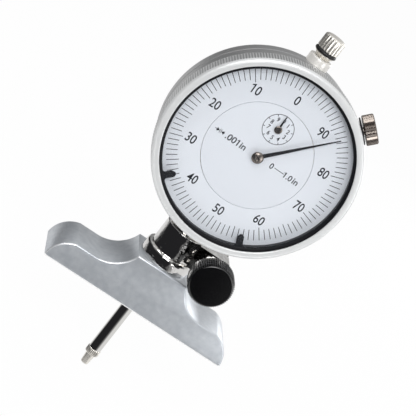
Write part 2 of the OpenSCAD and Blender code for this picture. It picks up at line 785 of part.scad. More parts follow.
module pivot_bushes() {
    color([0.75, 0.2, 0.25]) {
        for (spot = [[0, dial_z], [0, take_up_z], [pinion_x, pinion_z]])
            pivot_bush(-bridge_front, -bridge_back, spot[0], spot[1], arbor_r);
        pivot_bush(-plate_front, -plate_back, 0, dial_z, arbor_r);
        pivot_bush(-plate_front, -plate_back, 0, take_up_z, arbor_r);
        pivot_bush(rack_bridge_front, rack_bridge_back, pinion_x, pinion_z, arbor_r);
    }
}

// ---- Gear train ----

module rack_arbor() {
    color([0.65, 0.65, 0.65]) {
        bar_y(2 * arbor_r, -bridge_front, rack_bridge_back, pinion_x, pinion_z);
        bar_y(2 * arbor_r + 0.8, -wheel_back + seat_gap, -pinion_width / 2, pinion_x, pinion_z);
        translate([pinion_x, 0, pinion_z]) plate_y(pinion_width / 2, pinion_width)
            gear_2d(rack_pinion_teeth, rack_module, 1, 1.15, 0.03, 180 / rack_pinion_teeth);
    }
}

module drive_gear() {
    mesh = atan2(dial_z - pinion_z, -pinion_x);
    color([0.8, 0.65, 0.3]) difference() {
        translate([pinion_x, 0, pinion_z]) plate_y(wheel_front, wheel_thickness)
            gear_2d(wheel_teeth, wheel_module, 0.6, 1.4, 0.02, mesh);
        bar_y(2 * (arbor_r + seat_gap), -wheel_front - cut, 0, pinion_x, pinion_z);
    }
}

module centre_arbor() {
    mesh = atan2(dial_z - pinion_z, -pinion_x) + 180;
    color([0.65, 0.65, 0.65]) {
        bar_y(2 * arbor_r, -main_hand_y - 0.3, -plate_back, 0, dial_z);
        translate([0, 0, dial_z]) plate_y(wheel_front + side_gap, wheel_thickness + 2 * side_gap)
            gear_2d(centre_teeth, wheel_module, 1.2, 0.85, 0.02, mesh + 180 / centre_teeth);
    }
}

module take_up_arbor() {
    color([0.65, 0.65, 0.65]) {
        bar_y(2 * arbor_r, -counter_hand_y + 0.02, -plate_back, 0, take_up_z);
        bar_y(1.8, -bridge_back + side_gap, -wheel_front - seat_gap, 0, take_up_z);
    }
}

module take_up_gear() {
    mesh = atan2(dial_z - pinion_z, -pinion_x) + 180;
    pinion_turn = mesh + 180 / centre_teeth;
    // the pinion's tooth that lies nearest to twelve o'clock, which the wheel takes in a gap
    tooth = round((90 - pinion_turn) * centre_teeth / 360) * 360 / centre_teeth + pinion_turn;
    turn = 270 - (tooth - 90) * centre_teeth / wheel_teeth + 180 / wheel_teeth;
    color([0.8, 0.65, 0.3]) difference() {
        translate([0, 0, take_up_z]) plate_y(wheel_front, wheel_thickness)
            gear_2d(wheel_teeth, wheel_module, 0.6, 1.4, 0.02, turn);
        bar_y(2 * (arbor_r + seat_gap), -wheel_front - cut, 0, 0, take_up_z);
    }
}

module hairspring() {
    count = hairspring_turns * hairspring_points;
    path = [for (i = [0 : count]) let (a = i * 360 / hairspring_points,
        r = hairspring_r[0] + (hairspring_r[1] - hairspring_r[0]) * i / count) [r, a]];
    inner = [for (p = path) p[0] * [cos(p[1]), sin(p[1])]];
    outer = [for (i = [count : -1 : 0])
        (path[i][0] + hairspring_strip) * [cos(path[i][1]), sin(path[i][1])]];
    color([0.55, 0.55, 0.6]) translate([0, 0, take_up_z])
        plate_y(hairspring_front, hairspring_width) polygon(concat(inner, outer));
}

module hairspring_stud() {
    color([0.6, 0.6, 0.6])
        bar_y(stud_d, -bridge_front, side_gap - hairspring_front + hairspring_width, stud_x, take_up_z);
}

// ---- Hands ----

module main_hand() {
    color([0.05, 0.05, 0.06]) translate([0, 0, dial_z]) rotate([0, main_hand_angle, 0]) difference() {
        plate_y(main_hand_y, main_hand_thickness) union() {
            polygon([[hand_width / 2, 0], [main_hand_tip / 2, main_hand_reach],
                [-main_hand_tip / 2, main_hand_reach], [-hand_width / 2, 0]]);
            circle(d = main_hub_d);
        }
        bar_y(2 * (arbor_r + seat_gap), -2 * main_hand_y, 0);
    }
}

module main_hand_cap() {
    r = main_cap_d / 2;
    foot = main_hand_y + seat_gap;
    dome = [for (a = [0 : 15 : 90]) [r * cos(a), foot + main_cap_height * sin(a)]];
    color([0.35, 0.35, 0.36]) difference() {
        turned_y(concat([[0, foot]], dome));
        bar_y(2 * (arbor_r + seat_gap), -main_hand_y - 0.3 - seat_gap, 0, 0, dial_z);
    }
}

module counter_hand() {
    color([0.05, 0.05, 0.06]) translate([0, 0, take_up_z]) rotate([0, counter_hand_angle, 0]) {
        plate_y(counter_hand_y, counter_hand_thickness) difference() {
            union() {
                polygon([[counter_hand_width / 2, 0], [counter_hand_tip / 2, counter_hand_reach],
                    [-counter_hand_tip / 2, counter_hand_reach], [-counter_hand_width / 2, 0]]);
                circle(d = counter_hub_d);
            }
            circle(r = arbor_r + seat_gap);
        }
        bar_y(counter_hub_d - 0.4, -counter_hand_y - 0.15, -counter_hand_y);
    }
}

// ---- Spindle and what it carries ----

module rack_gap(z) {
    tip = rack_addendum * rack_module;
    root = rack_dedendum * rack_module;
    half_line = rack_pitch / 4 + 0.015;
    half_tip = half_line + tip * tan(20) + cut * tan(20);
    half_root = half_line - root * tan(20);
    translate([0, spindle_d, z]) rotate([90, 0, 0]) linear_extrude(2 * spindle_d)
        polygon([[rack_line - tip - cut, -half_tip], [rack_line + root, -half_root],
            [rack_line + root, half_root], [rack_line - tip - cut, half_tip]]);
}

module spindle() {
    rack_top = pinion_z + (rack_teeth_above + 0.5) * rack_pitch;
    rack_foot = rack_top - rack_teeth_count * rack_pitch;
    flat_x = rack_line - rack_addendum * rack_module;
    color([0.8, 0.8, 0.8]) difference() {
        turned_z([[0, spindle_foot], [spindle_r, spindle_foot], [spindle_r, cap_rest],
            [cap_stud_d / 2, cap_rest], [cap_stud_d / 2, cap_rest + cap_stud_length],
            [0, cap_rest + cap_stud_length]]);
        translate([flat_x - cut, -spindle_d, rack_foot - rack_pitch / 2])
            cube([cut, 2 * spindle_d, (rack_teeth_count + 1) * rack_pitch]);
        for (i = [0 : rack_teeth_count]) rack_gap(rack_top - i * rack_pitch);
        translate([0, 0, spindle_foot - cut])
            cylinder(d = tip_stud_d + 2 * seat_gap, h = tip_stud_length + 0.5 + cut);
        translate([0.2, 0, guide_z]) rotate([0, 90, 0]) cylinder(r = pin_r + seat_gap, h = spindle_d);
    }
}

module guide_pin() {
    color([0.65, 0.65, 0.65]) translate([0.3, 0, guide_z]) rotate([0, 90, 0])
        cylinder(r = pin_r, h = spring_x + spring_coil_r - 0.3);
}

module guide_rail() {
    foot = guide_z - 2.6;
    color([0.75, 0.65, 0.4]) difference() {
        translate([rail_x, -plate_back, foot]) cube([rail_width, plate_back + rail_back, travel + 4.8]);
        translate([rail_x - cut, -pin_r - turn_gap, foot + 1.4])
            cube([rail_width + 2 * cut, 2 * (pin_r + turn_gap), travel + 2.4]);
    }
}

function spring_point(t) = let (a = 360 * t)
    [spring_x + spring_coil_r * cos(a), spring_coil_r * sin(a),
        spring_foot + spring_wire / 2 + turn_gap + spring_pitch() * t];

module return_spring() {
    rings = spring_turns * spring_ring_points;
    wire_r = spring_wire / 2;
    centres = [for (i = [0 : rings]) spring_point(i / spring_ring_points)];
    ring_points = [for (i = [0 : rings]) let (
            a = 360 * i / spring_ring_points,
            outward = [cos(a), sin(a), 0],
            along = [-sin(a), cos(a), spring_pitch() / (2 * PI * spring_coil_r)],
            unit = along / norm(along),
            up = cross(outward, unit))
        each [for (k = [0 : spring_sides - 1]) let (b = 360 * k / spring_sides)
            centres[i] + wire_r * (cos(b) * outward + sin(b) * up)]];
    walls = [for (i = [0 : rings - 1], k = [0 : spring_sides - 1]) let (
            p = i * spring_sides + k,
            q = i * spring_sides + (k + 1) % spring_sides)
        each [[p, p + spring_sides, q], [q, p + spring_sides, q + spring_sides]]];
    last = rings * spring_sides;
    ends = [for (k = [1 : spring_sides - 2]) each [[0, k, k + 1], [last, last + k + 1, last + k]]];
    color([0.6, 0.6, 0.62]) polyhedron(ring_points, concat(walls, ends));
}

module spring_post() {
    color([0.65, 0.65, 0.65]) bar_y(2 * pin_r, -plate_back, spring_coil_r, spring_x, spring_foot - pin_r);
}

module contact_point() {
    color([0.78, 0.74, 0.66]) {
        translate([0, 0, spindle_foot]) cylinder(d = tip_stud_d, h = tip_stud_length);
        translate([0, 0, spindle_foot - collar_length])
            knurled(collar_d, collar_length, collar_knurls, collar_knurl_depth);
        translate([0, 0, -reach_out]) cylinder(d1 = tip_d, d2 = tip_d + tip_taper, h = tip_length);
    }
}

module lifting_cap() {
    root_r = cap_d / 2 - cap_flute_depth - turn_gap;
    top = cap_body_z + cap_length;
    color([0.8, 0.8, 0.78]) difference() {
        union() {
            turned_z([[0, cap_rest + seat_gap], [cap_foot_d / 2, cap_rest + seat_gap],
                [cap_neck_d / 2, cap_groove_z - side_gap], [cap_neck_d / 2, cap_groove_z],
                [cap_groove_d / 2, cap_groove_z], [cap_groove_d / 2, cap_body_z], [root_r, cap_body_z],
                [root_r, top], [root_r - 0.6, top + 0.7 * cap_dome], [0, top + cap_dome]]);
            translate([0, 0, cap_body_z + 2 * side_gap])
                knurled(cap_d, cap_length - 4 * side_gap, cap_flutes, cap_flute_depth);
        }
        translate([0, 0, cap_rest - cut])
            cylinder(d = cap_stud_d + 2 * seat_gap, h = cap_stud_length + cut + seat_gap);
    }
}

module bumper_ring() {
    color([0.03, 0.03, 0.03]) translate([0, 0, (cap_groove_z + cap_body_z) / 2])
        rotate_extrude() translate([(cap_groove_d + bumper_wire_d) / 2 + run_gap, 0])
            circle(d = bumper_wire_d);
}

base_block();
stem_holder();
clamp_washer();
clamp_screw();
clamp_knob();
stem();
stem_bushes();
case();
top_bushing();
back_cover();
back_cover_screws();
bezel();
crystal();
crystal_gasket();
inner_ring();
dial_ring();
dial_centre();
bezel_snap_ring();
marker_left();
marker_right();
bezel_lock_pad();
bezel_lock_washer();
bezel_lock_knob();
movement_plate();
plate_screws();
front_bridge();
bridge_pillars();
bridge_screws();
rack_bridge();
rack_bridge_posts();
pivot_bushes();
rack_arbor();
drive_gear();
centre_arbor();
take_up_arbor();
take_up_gear();
hairspring();
hairspring_stud();
main_hand();
main_hand_cap();
counter_hand();
spindle();
guide_pin();
guide_rail();
return_spring();
spring_post();
contact_point();
lifting_cap();
bumper_ring();
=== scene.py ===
import json
import math
import bpy
import bmesh
import numpy as np
from mathutils import Matrix, Vector
from types import SimpleNamespace

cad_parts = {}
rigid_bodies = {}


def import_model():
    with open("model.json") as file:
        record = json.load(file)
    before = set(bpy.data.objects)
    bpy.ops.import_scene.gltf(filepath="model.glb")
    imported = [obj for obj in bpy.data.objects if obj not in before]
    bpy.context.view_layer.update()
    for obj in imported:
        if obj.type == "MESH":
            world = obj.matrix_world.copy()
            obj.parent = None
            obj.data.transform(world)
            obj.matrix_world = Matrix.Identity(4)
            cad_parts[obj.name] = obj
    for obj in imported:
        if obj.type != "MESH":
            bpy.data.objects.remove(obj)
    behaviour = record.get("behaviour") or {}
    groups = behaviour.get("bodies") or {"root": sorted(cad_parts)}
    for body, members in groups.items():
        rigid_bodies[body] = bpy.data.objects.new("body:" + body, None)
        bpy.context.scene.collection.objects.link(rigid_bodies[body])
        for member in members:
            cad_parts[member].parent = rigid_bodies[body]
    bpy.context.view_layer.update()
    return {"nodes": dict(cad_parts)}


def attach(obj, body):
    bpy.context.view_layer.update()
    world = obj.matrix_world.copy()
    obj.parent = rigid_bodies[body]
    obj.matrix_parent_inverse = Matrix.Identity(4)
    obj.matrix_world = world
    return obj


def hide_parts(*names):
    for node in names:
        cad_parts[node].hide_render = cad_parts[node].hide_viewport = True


for leftover in list(bpy.data.objects):
    bpy.data.objects.remove(leftover)

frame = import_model()
nodes = frame["nodes"]
print("frame loaded:", len(nodes), "nodes")

mm = 0.001   # lengths are written in millimetres, and meshes are in metres
sharpAngle = 32   # degrees between two faces from which their edge stays sharp
dialZ = 58.2   # height of the dial's axis over the measuring face
counterZ = 67.5   # height of the counter hand's axis
clampCentre = (11.2, 0, 21.7)   # where the clamp screw's axis crosses the holder's slit
lockAngle = math.radians(42.6)   # the bezel lock, clockwise from the top

# the axes that pieces are turned about: a point on it, two directions across it and the direction along it
right, back, up = np.eye(3)
axes = dict(
    spindle=((0, 0, 0), right, back, up),
    dial=((0, 0, dialZ), right, up, -back),
    counter=((0, 0, counterZ), right, up, -back),
    clamp=(clampCentre, right, up, -back),
    lock=((0, -7.4, dialZ), np.array([math.cos(lockAngle), 0, -math.sin(lockAngle)]), back,
          np.array([math.sin(lockAngle), 0, math.cos(lockAngle)])),
)


# a piece's values by name, b.length for base["length"]
def named(piece):
    return SimpleNamespace(**piece)


# feeds a socket: another socket is linked to it, and a number, a vector or a colour (red, green, blue) is set on it
def feed(tree, socket, source):
    if isinstance(source, bpy.types.NodeSocket):
        tree.links.new(source, socket)
    elif socket.type == "RGBA":
        socket.default_value = (*source, 1)
    else:
        socket.default_value = source


# feeds a node's sockets by name or number
def feedAll(tree, node, values):
    for label, value in values.items():
        feed(tree, node.inputs[label], value)
    return node


# a new node with its settings and its fed sockets
def addNode(tree, kind, values={}, **settings):
    node = tree.nodes.new("ShaderNode" + kind)
    for name, setting in settings.items():
        setattr(node, name, setting)
    return feedAll(tree, node, values)


# a node group, with inputs as (label, kind, value) and outputs as (label, kind), and its sockets on the inside
def makeGroup(name, inputs, outputs):
    group = bpy.data.node_groups.new(name, "ShaderNodeTree")
    for label, kind, value in inputs:
        socket = group.interface.new_socket(name=label, in_out="INPUT", socket_type="NodeSocket" + kind)
        socket.default_value = value
    for label, kind in outputs:
        group.interface.new_socket(name=label, in_out="OUTPUT", socket_type="NodeSocket" + kind)
    return group, group.nodes.new("NodeGroupInput").outputs, group.nodes.new("NodeGroupOutput").inputs


# a group placed in a tree with its own values
def placeGroup(tree, group, values):
    return addNode(tree, "Group", values, node_tree=group).outputs


# one step of arithmetic on numbers or sockets
def mathNode(tree, kind, *values):
    return addNode(tree, "Math", dict(enumerate(values)), operation=kind).outputs[0]


# one step of arithmetic on vectors
def vectorNode(tree, kind, *values, out="Vector"):
    return addNode(tree, "VectorMath", dict(enumerate(values)), operation=kind).outputs[out]


# value times factor, plus offset
def scaled(tree, value, factor, offset):
    return mathNode(tree, "ADD", mathNode(tree, "MULTIPLY", value, factor), offset)


# the x, y and z of a vector
def splitVector(tree, vector):
    return addNode(tree, "SeparateXYZ", {0: vector}).outputs


# noise over a place in space, or with dimensions "1D" over one number
def noiseNode(tree, place, scale, detail, dimensions="3D"):
    values = {"W" if dimensions == "1D" else "Vector": place, "Scale": scale, "Detail": detail}
    return addNode(tree, "TexNoise", values, noise_dimensions=dimensions).outputs["Fac"]


# colour a where the share is 0 and colour b where it is 1
def mixColour(tree, share, a, b):
    return addNode(tree, "Mix", {"Factor": share, "A": a, "B": b}, data_type="RGBA").outputs["Result"]


# the first shader where the share is 0 and the second where it is 1
def mixShaders(tree, share, first, second):
    return addNode(tree, "MixShader", {0: share, 1: first, 2: second}).outputs[0]


# a colour ramp through stops of (position, colour)
def rampNode(tree, share, stops):
    node = addNode(tree, "ValToRGB", {"Fac": share})
    elements = node.color_ramp.elements
    for element, (position, colour) in zip(elements, (stops[0], stops[-1])):
        element.position, element.color = position, (*colour, 1)
    for position, colour in stops[1:-1]:
        elements.new(position).color = (*colour, 1)
    return node.outputs["Color"]


# a material with its tree and its shader, whose own sockets take the values
def makeMaterial(name, values):
    material = bpy.data.materials.new(name)
    material.use_nodes = True
    tree = material.node_tree
    return material, tree, feedAll(tree, tree.nodes["Principled BSDF"], values)


# fine grain: noise stretched along one direction, so that it reads as brushing, or even, so that it reads as
# blasting; roughness = rough + spread * (grain - 0.5), and the cloud is a broad even noise
def buildGrain():
    group, ins, outs = makeGroup("metalGrain", [
        ("Stretch", "Vector", (1, 1, 1)), ("Scale", "Float", 2000), ("Rough", "Float", 0.3),
        ("Rough Spread", "Float", 0.1), ("Cloud Scale", "Float", 150)],
        [("Roughness", "Float"), ("Grain", "Float"), ("Cloud", "Float")])
    place = addNode(group, "TexCoord").outputs["Object"]
    grain = noiseNode(group, vectorNode(group, "MULTIPLY", place, ins["Stretch"]), ins["Scale"], 3)
    spread = mathNode(group, "MULTIPLY", mathNode(group, "SUBTRACT", grain, 0.5), ins["Rough Spread"])
    feed(group, outs["Roughness"], mathNode(group, "ADD", ins["Rough"], spread))
    feed(group, outs["Grain"], grain)
    feed(group, outs["Cloud"], noiseNode(group, place, ins["Cloud Scale"], 4))
    return group


# turning marks: noise over the distance to an axis, which Flatten measures across it, so that it makes rings
def buildRings():
    group, ins, outs = makeGroup("turningMarks", [
        ("Centre", "Vector", (0, 0, 0)), ("Flatten", "Vector", (1, 0, 1)),
        ("Rings Per Metre", "Float", 4000)], [("Rings", "Float")])
    place = addNode(group, "TexCoord").outputs["Object"]
    away = vectorNode(group, "MULTIPLY", vectorNode(group, "SUBTRACT", place, ins["Centre"]), ins["Flatten"])
    reach = vectorNode(group, "LENGTH", away, out="Value")
    feed(group, outs["Rings"], noiseNode(group, mathNode(group, "MULTIPLY", reach, ins["Rings Per Metre"]), 1, 2, "1D"))
    return group


grainGroup = buildGrain()
ringGroup = buildRings()


# broken edges of the front and back faces: there the surface is turned neither along y nor across it. The ones
# that face left or down get a painted highlight, and those that face down are painted white, as if lit from below
def brightRim(tree, colour, rimHighlight):
    x, y, z = splitVector(tree, addNode(tree, "NewGeometry").outputs["Normal"])
    along = mathNode(tree, "ABSOLUTE", y)
    edge = mathNode(tree, "MULTIPLY", mathNode(tree, "GREATER_THAN", along, 0.2),
                    mathNode(tree, "LESS_THAN", along, 0.98))
    below = mathNode(tree, "LESS_THAN", z, -0.15)
    # painted highlight: chosen by which way an edge faces the light, left or down
    paintedHighlightMask = mathNode(tree, "MAXIMUM", mathNode(tree, "LESS_THAN", x, -0.12), below)
    return mixColour(tree, mathNode(tree, "MULTIPLY", edge, paintedHighlightMask), colour, mixColour(tree, below, rimHighlight, (1, 1, 1)))


# knurled edges with painted light: the colour changes from the tips to a depth below them, as seen from an axis along
# y, and only between low and high along it, as painted shade in the grooves; where the depth is negative, it is the
# tips that take the new colour, as a painted highlight
def grooveColour(tree, colour, groove):
    place = addNode(tree, "TexCoord").outputs["Object"]
    x, y, z = splitVector(tree, vectorNode(tree, "SUBTRACT", place, [q * mm for q in groove["centre"]]))
    square = mathNode(tree, "ADD", mathNode(tree, "MULTIPLY", x, x), mathNode(tree, "MULTIPLY", z, z))
    depth = mathNode(tree, "SUBTRACT", groove["tips"] * mm, mathNode(tree, "SQRT", square))
    shade = mathNode(tree, "MINIMUM", mathNode(tree, "MULTIPLY", depth, 1 / (groove["depth"] * mm)), 1.0)
    side = mathNode(tree, "MULTIPLY", mathNode(tree, "LESS_THAN", y, -groove["low"] * mm),
                    mathNode(tree, "GREATER_THAN", y, -groove["high"] * mm))
    return mixColour(tree, mathNode(tree, "MULTIPLY", shade, side), colour, groove["colour"])


# one finish: two close colours mixed by the cloud, roughness from the grain, and bump from the grain or, where
# rings are given, from the turning marks; the relief is in metres
def makeFinish(name, low, high, rough, metallic=0, spread=0.08, scale=2500, stretch=(1, 1, 1), cloud=200, bump=0,
               relief=0.00005, specular=0.5, rings=None, rimHighlight=None, groove=None):
    finish, tree, shader = makeMaterial(name, {"Metallic": metallic, "Specular IOR Level": specular})
    grain = placeGroup(tree, grainGroup, {
        "Stretch": stretch, "Scale": scale, "Rough": rough, "Rough Spread": spread, "Cloud Scale": cloud})
    colour = mixColour(tree, grain["Cloud"], low, high)
    # a painted highlight on the broken edges that face left or down
    if rimHighlight:
        colour = brightRim(tree, colour, rimHighlight)
    # painted shade in the knurl's grooves, and with a negative depth a painted highlight on its tips
    if groove:
        colour = grooveColour(tree, colour, groove)
    feedAll(tree, shader, {"Base Color": colour, "Roughness": grain["Roughness"]})
    height = grain["Grain"]
    if rings:
        height = placeGroup(tree, ringGroup, {
            "Centre": [q * mm for q in rings["centre"]], "Rings Per Metre": rings["perMetre"]})["Rings"]
    if bump:
        lift = addNode(tree, "Bump", {"Strength": bump, "Distance": relief, "Height": height})
        feed(tree, shader.inputs["Normal"], lift.outputs["Normal"])
    return finish


# the rim colour is a painted highlight on the base's edges that face left or down, and white on those facing down
groundSteel = makeFinish(
    "groundSteel", (0.47, 0.505, 0.55), (0.74, 0.77, 0.8), metallic=0.62, rough=0.35, spread=0.3, scale=2200,
    cloud=520, bump=0.4, rimHighlight=(0.8, 0.82, 0.84))
polishedSteel = makeFinish(
    "polishedSteel", (0.72, 0.71, 0.69), (0.8, 0.79, 0.77), metallic=1, rough=0.1, scale=3000,
    stretch=(1, 1, 0.1), cloud=90, bump=0.02)
chrome = makeFinish(
    "chrome", (0.72, 0.71, 0.69), (0.78, 0.77, 0.76), metallic=1, rough=0.07, spread=0.06, scale=240, cloud=90,
    bump=0.8, relief=0.0006)
# the groove colour is painted shade in the bezel knurl's grooves
bezelAlloy = makeFinish(
    "bezelAlloy", (0.71, 0.72, 0.725), (0.78, 0.79, 0.785), metallic=0.25, rough=0.36, spread=0.12, scale=3000,
    bump=0.15, rings=dict(centre=(0, 0, dialZ), perMetre=5000),
    groove=dict(centre=(0, 0, dialZ), tips=28.6, depth=0.2, low=9.7, high=14.35, colour=(0.2, 0.2, 0.205)))
caseAlloy = makeFinish(
    "caseAlloy", (0.37, 0.375, 0.38), (0.44, 0.44, 0.44), metallic=0.5, rough=0.36, spread=0.12, scale=3000,
    stretch=(1, 0.1, 1), cloud=160, bump=0.1)
capAlloy = makeFinish(
    "capAlloy", (0.84, 0.81, 0.75), (0.9, 0.87, 0.81), metallic=0.85, rough=0.3, spread=0.02)
bushAlloy = makeFinish(
    "bushAlloy", (0.84, 0.82, 0.78), (0.9, 0.88, 0.84), metallic=0.25, rough=0.3, spread=0.02)
knobAlloy = makeFinish(
    "knobAlloy", (0.19, 0.165, 0.145), (0.25, 0.22, 0.2), metallic=1, rough=0.26, spread=0.02)
blackRubber = makeFinish(
    "blackRubber", (0.003, 0.003, 0.003), (0.007, 0.007, 0.007), rough=0.45, spread=0.1, scale=1500, cloud=300,
    bump=0.1)
blackPaint = makeFinish(
    "blackPaint", (0.004, 0.0042, 0.006), (0.008, 0.0085, 0.011), rough=0.4, scale=2000, bump=0.04,
    specular=0.2)
# the groove colour, with its negative depth, is a painted highlight on the knob knurl's tips
blackPlastic = makeFinish(
    "blackPlastic", (0.0015, 0.0015, 0.002), (0.003, 0.003, 0.0035), rough=0.16, spread=0.06, scale=1500,
    cloud=300, bump=0.05, specular=0.9,
    groove=dict(centre=clampCentre, tips=6.3, depth=-0.25, low=10.6, high=15.25, colour=(0.1, 0.1, 0.105)))
dialPaint = makeFinish(
    "dialPaint", (0.765, 0.8, 0.855), (0.785, 0.82, 0.87), rough=0.5, scale=1200, cloud=60, bump=0.03)
ink = makeFinish(
    "ink", (0.006, 0.007, 0.012), (0.012, 0.013, 0.019), rough=0.6, spread=0.06, scale=2000, cloud=300,
    specular=0.2)
brassPlate = makeFinish(
    "brassPlate", (0.62, 0.47, 0.2), (0.7, 0.54, 0.25), metallic=1, rough=0.28, spread=0.12, scale=3000,
    stretch=(1, 1, 0.1), cloud=150, bump=0.05)


# the crystal: almost see-through, and two close greys mixed by a broad cloud in the rest
def makeClear():
    clear, tree, shader = makeMaterial("clearCrystal", {"Roughness": 0.02, "IOR": 1.49, "Alpha": 0.03})
    cloud = placeGroup(tree, grainGroup, {"Cloud Scale": 40})["Cloud"]
    feed(tree, shader.inputs["Base Color"], mixColour(tree, cloud, (0.3, 0.32, 0.35), (0.34, 0.36, 0.39)))
    return clear


clearCrystal = makeClear()
print("finishes ready")


# a mesh from points in millimetres
def newMesh(name, points, faces):
    mesh = bpy.data.meshes.new(name)
    mesh.from_pydata((np.asarray(points, float).reshape(-1, 3) * mm).tolist(), [], faces)
    return mesh


# merges points nearer than so many metres, melts edges between faces in one plane, turns the faces outwards
def mendMesh(mesh, merge=0, melt=False, outwards=False):
    shape = bmesh.new()
    shape.from_mesh(mesh)
    if merge:
        bmesh.ops.remove_doubles(shape, verts=shape.verts, dist=merge)
    if melt:
        bmesh.ops.dissolve_limit(shape, angle_limit=math.radians(1), verts=shape.verts, edges=shape.edges)
    if outwards:
        bmesh.ops.recalc_face_normals(shape, faces=shape.faces)
    shape.to_mesh(mesh)
    shape.free()


# shades the faces smooth, apart from the edges over an angle in degrees
def smoothFaces(mesh, angle=sharpAngle):
    mesh.polygons.foreach_set("use_smooth", [True] * len(mesh.polygons))
    mesh.set_sharp_from_angle(angle=math.radians(angle))


# makes a mesh a piece that rides on a body, with its finish and its slot, in place of the CAD node it stands for
def showMesh(name, mesh, finish, body, stands=None):
    mesh.materials.append(finish)
    piece = bpy.data.objects.new(name, mesh)
    bpy.context.scene.collection.objects.link(piece)
    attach(piece, body)
    if stands:
        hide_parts(stands)
    return piece


# a piece from points and faces: what coincides is merged, and the faces are turned outwards
def addPiece(name, points, faces, finish, body, stands=None, sharp=sharpAngle):
    mesh = newMesh(name, points, faces)
    mendMesh(mesh, merge=1e-7, outwards=True)
    smoothFaces(mesh, sharp)
    return showMesh(name, mesh, finish, body, stands)


# quads between neighbouring points of a grid; each direction may close on itself
def gridFaces(rows, columns, closeRows, closeColumns):
    i = np.arange(rows if closeRows else rows - 1)[:, None]
    j = np.arange(columns if closeColumns else columns - 1)[None, :]
    below, above = i * columns, ((i + 1) % rows) * columns
    beside = (j + 1) % columns
    return np.stack([below + j, below + beside, above + beside, above + j], -1).reshape(-1, 4).tolist()


# quads along a tube whose rows are closed rings, and one face over each end
def tubeFaces(rows, columns):
    last = (rows - 1) * columns
    return gridFaces(rows, columns, False, True) + [list(range(columns)), list(range(last, last + columns))]


# each corner of a polyline given as (x, y, round) becomes a short curve: start, corner and end are the control
# points of a parabola, whose ends lie the corner's third value away from it
def roundedLine(corners, closed, steps=4):
    corners = [(*corner, 0)[:3] for corner in corners]
    line = []
    for k, (x, y, size) in enumerate(corners):
        here = np.array([x, y])
        if not size or (not closed and k in (0, len(corners) - 1)):
            line.append(here)
            continue
        ends = []
        for other in (corners[k - 1], corners[(k + 1) % len(corners)]):
            way = np.array(other[:2]) - here
            span = np.linalg.norm(way)
            ends.append(here + way / span * min(size, span * 0.49))   # never past the middle of a side
        t = np.linspace(0, 1, steps + 1)[:, None]
        line.extend((1 - t) ** 2 * ends[0] + 2 * t * (1 - t) * here + t ** 2 * ends[1])
    return np.array(line)


# the profile of a plain ring from its four corners, each with its rounding
def ringProfile(inner, outer, low, high, rounds=(0, 0, 0, 0)):
    corners = (inner, low), (outer, low), (outer, high), (inner, high)
    return [(*corner, size) for corner, size in zip(corners, rounds)]


# angles of equal steps round a circle, as a column
def fullTurn(steps):
    return np.linspace(0, 2 * np.pi, steps, endpoint=False)[:, None]


# points round an axis: centre + radius * cos(turn) across it + radius * sin(turn) the other way + distance along it
def goRound(radius, distance, turn, axis):
    centre, u, v, w = axes[axis]
    return (np.array(centre) + (radius * np.cos(turn))[..., None] * u + (radius * np.sin(turn))[..., None] * v
            + distance[..., None] * w)


# a turned piece: the profile (radius, distance along the axis) goes round the axis. One that ends on the axis stays
# open, and any other closes on itself. A knurl takes a triangle wave off the radius, between two distances and
# wherever the profile lies over a radius
def turnedPiece(name, profile, axis, finish, body, stands=None, steps=144, knurl=None, sharp=sharpAngle):
    closed = profile[-1][0] > 0
    line = roundedLine(profile, closed)
    steps = knurl["teeth"] * knurl.get("samples", 4) if knurl else steps
    turn = fullTurn(steps)
    radius = np.repeat(line[None, :, 0], steps, 0)
    if knurl:
        wave = np.abs(2 * ((turn * knurl["teeth"] / (2 * np.pi)) % 1) - 1)
        wave = np.clip(wave * knurl.get("steep", 1.0), 0, 1)
        inside = ((line[:, 1] >= knurl["low"] - 1e-6) & (line[:, 1] <= knurl["high"] + 1e-6)
                  & (line[:, 0] >= knurl["over"]))
        radius = radius - wave * knurl["depth"] * inside[None, :]
    points = goRound(radius, line[:, 1], turn, axis)
    return addPiece(name, points, gridFaces(steps, len(line), True, closed), finish, body, stands, sharp)


# a flat outline (x, z) repeated along y, drawn in by an inset at each place. A corner moves by the sum of its two
# sides' normals over half that sum's square, which is kept over 0.35 so that sharp corners don't run away
def stackOutline(outline, insets, places):
    x, z = outline.T
    out = 0
    for side in (np.roll(outline, -1, 0) - outline, outline - np.roll(outline, 1, 0)):
        out = out + side[:, ::-1] * [1, -1] / np.linalg.norm(side, axis=1, keepdims=True)
    out = out / np.clip((out ** 2).sum(1, keepdims=True) / 2, 0.35, None)
    if np.sum(x * np.roll(z, -1) - np.roll(x, -1) * z) < 0:   # twice the area, negative for a clockwise outline
        out = -out
    flat = outline[None] - out[None] * np.asarray(insets)[:, None, None]
    depth = np.repeat(np.asarray(places)[:, None], len(outline), 1)
    return np.stack([flat[..., 0], depth, flat[..., 1]], -1).reshape(-1, 3)


# a plate with an outline (x, z) and bevelled rims, between two distances in front of the spindle's axis
def platePiece(name, outline, front, back, bevel, finish, body, stands=None, place=None):
    outline = np.array(outline, float)
    points = stackOutline(outline, [bevel, 0, 0, bevel], [-back, -back - bevel, -front + bevel, -front])
    if place:
        points = place(points)
    return addPiece(name, points, tubeFaces(4, len(outline)), finish, body, stands)


# turns points about the dial's axis or the counter's, clockwise for someone who faces the dial
def clockwise(degrees, z0):
    cos, sin = math.cos(math.radians(degrees)), math.sin(math.radians(degrees))

    def turnPoints(points):
        x, z = points[:, 0], points[:, 2] - z0
        return np.stack([x * cos + z * sin, points[:, 1], z0 - x * sin + z * cos], 1)
    return turnPoints


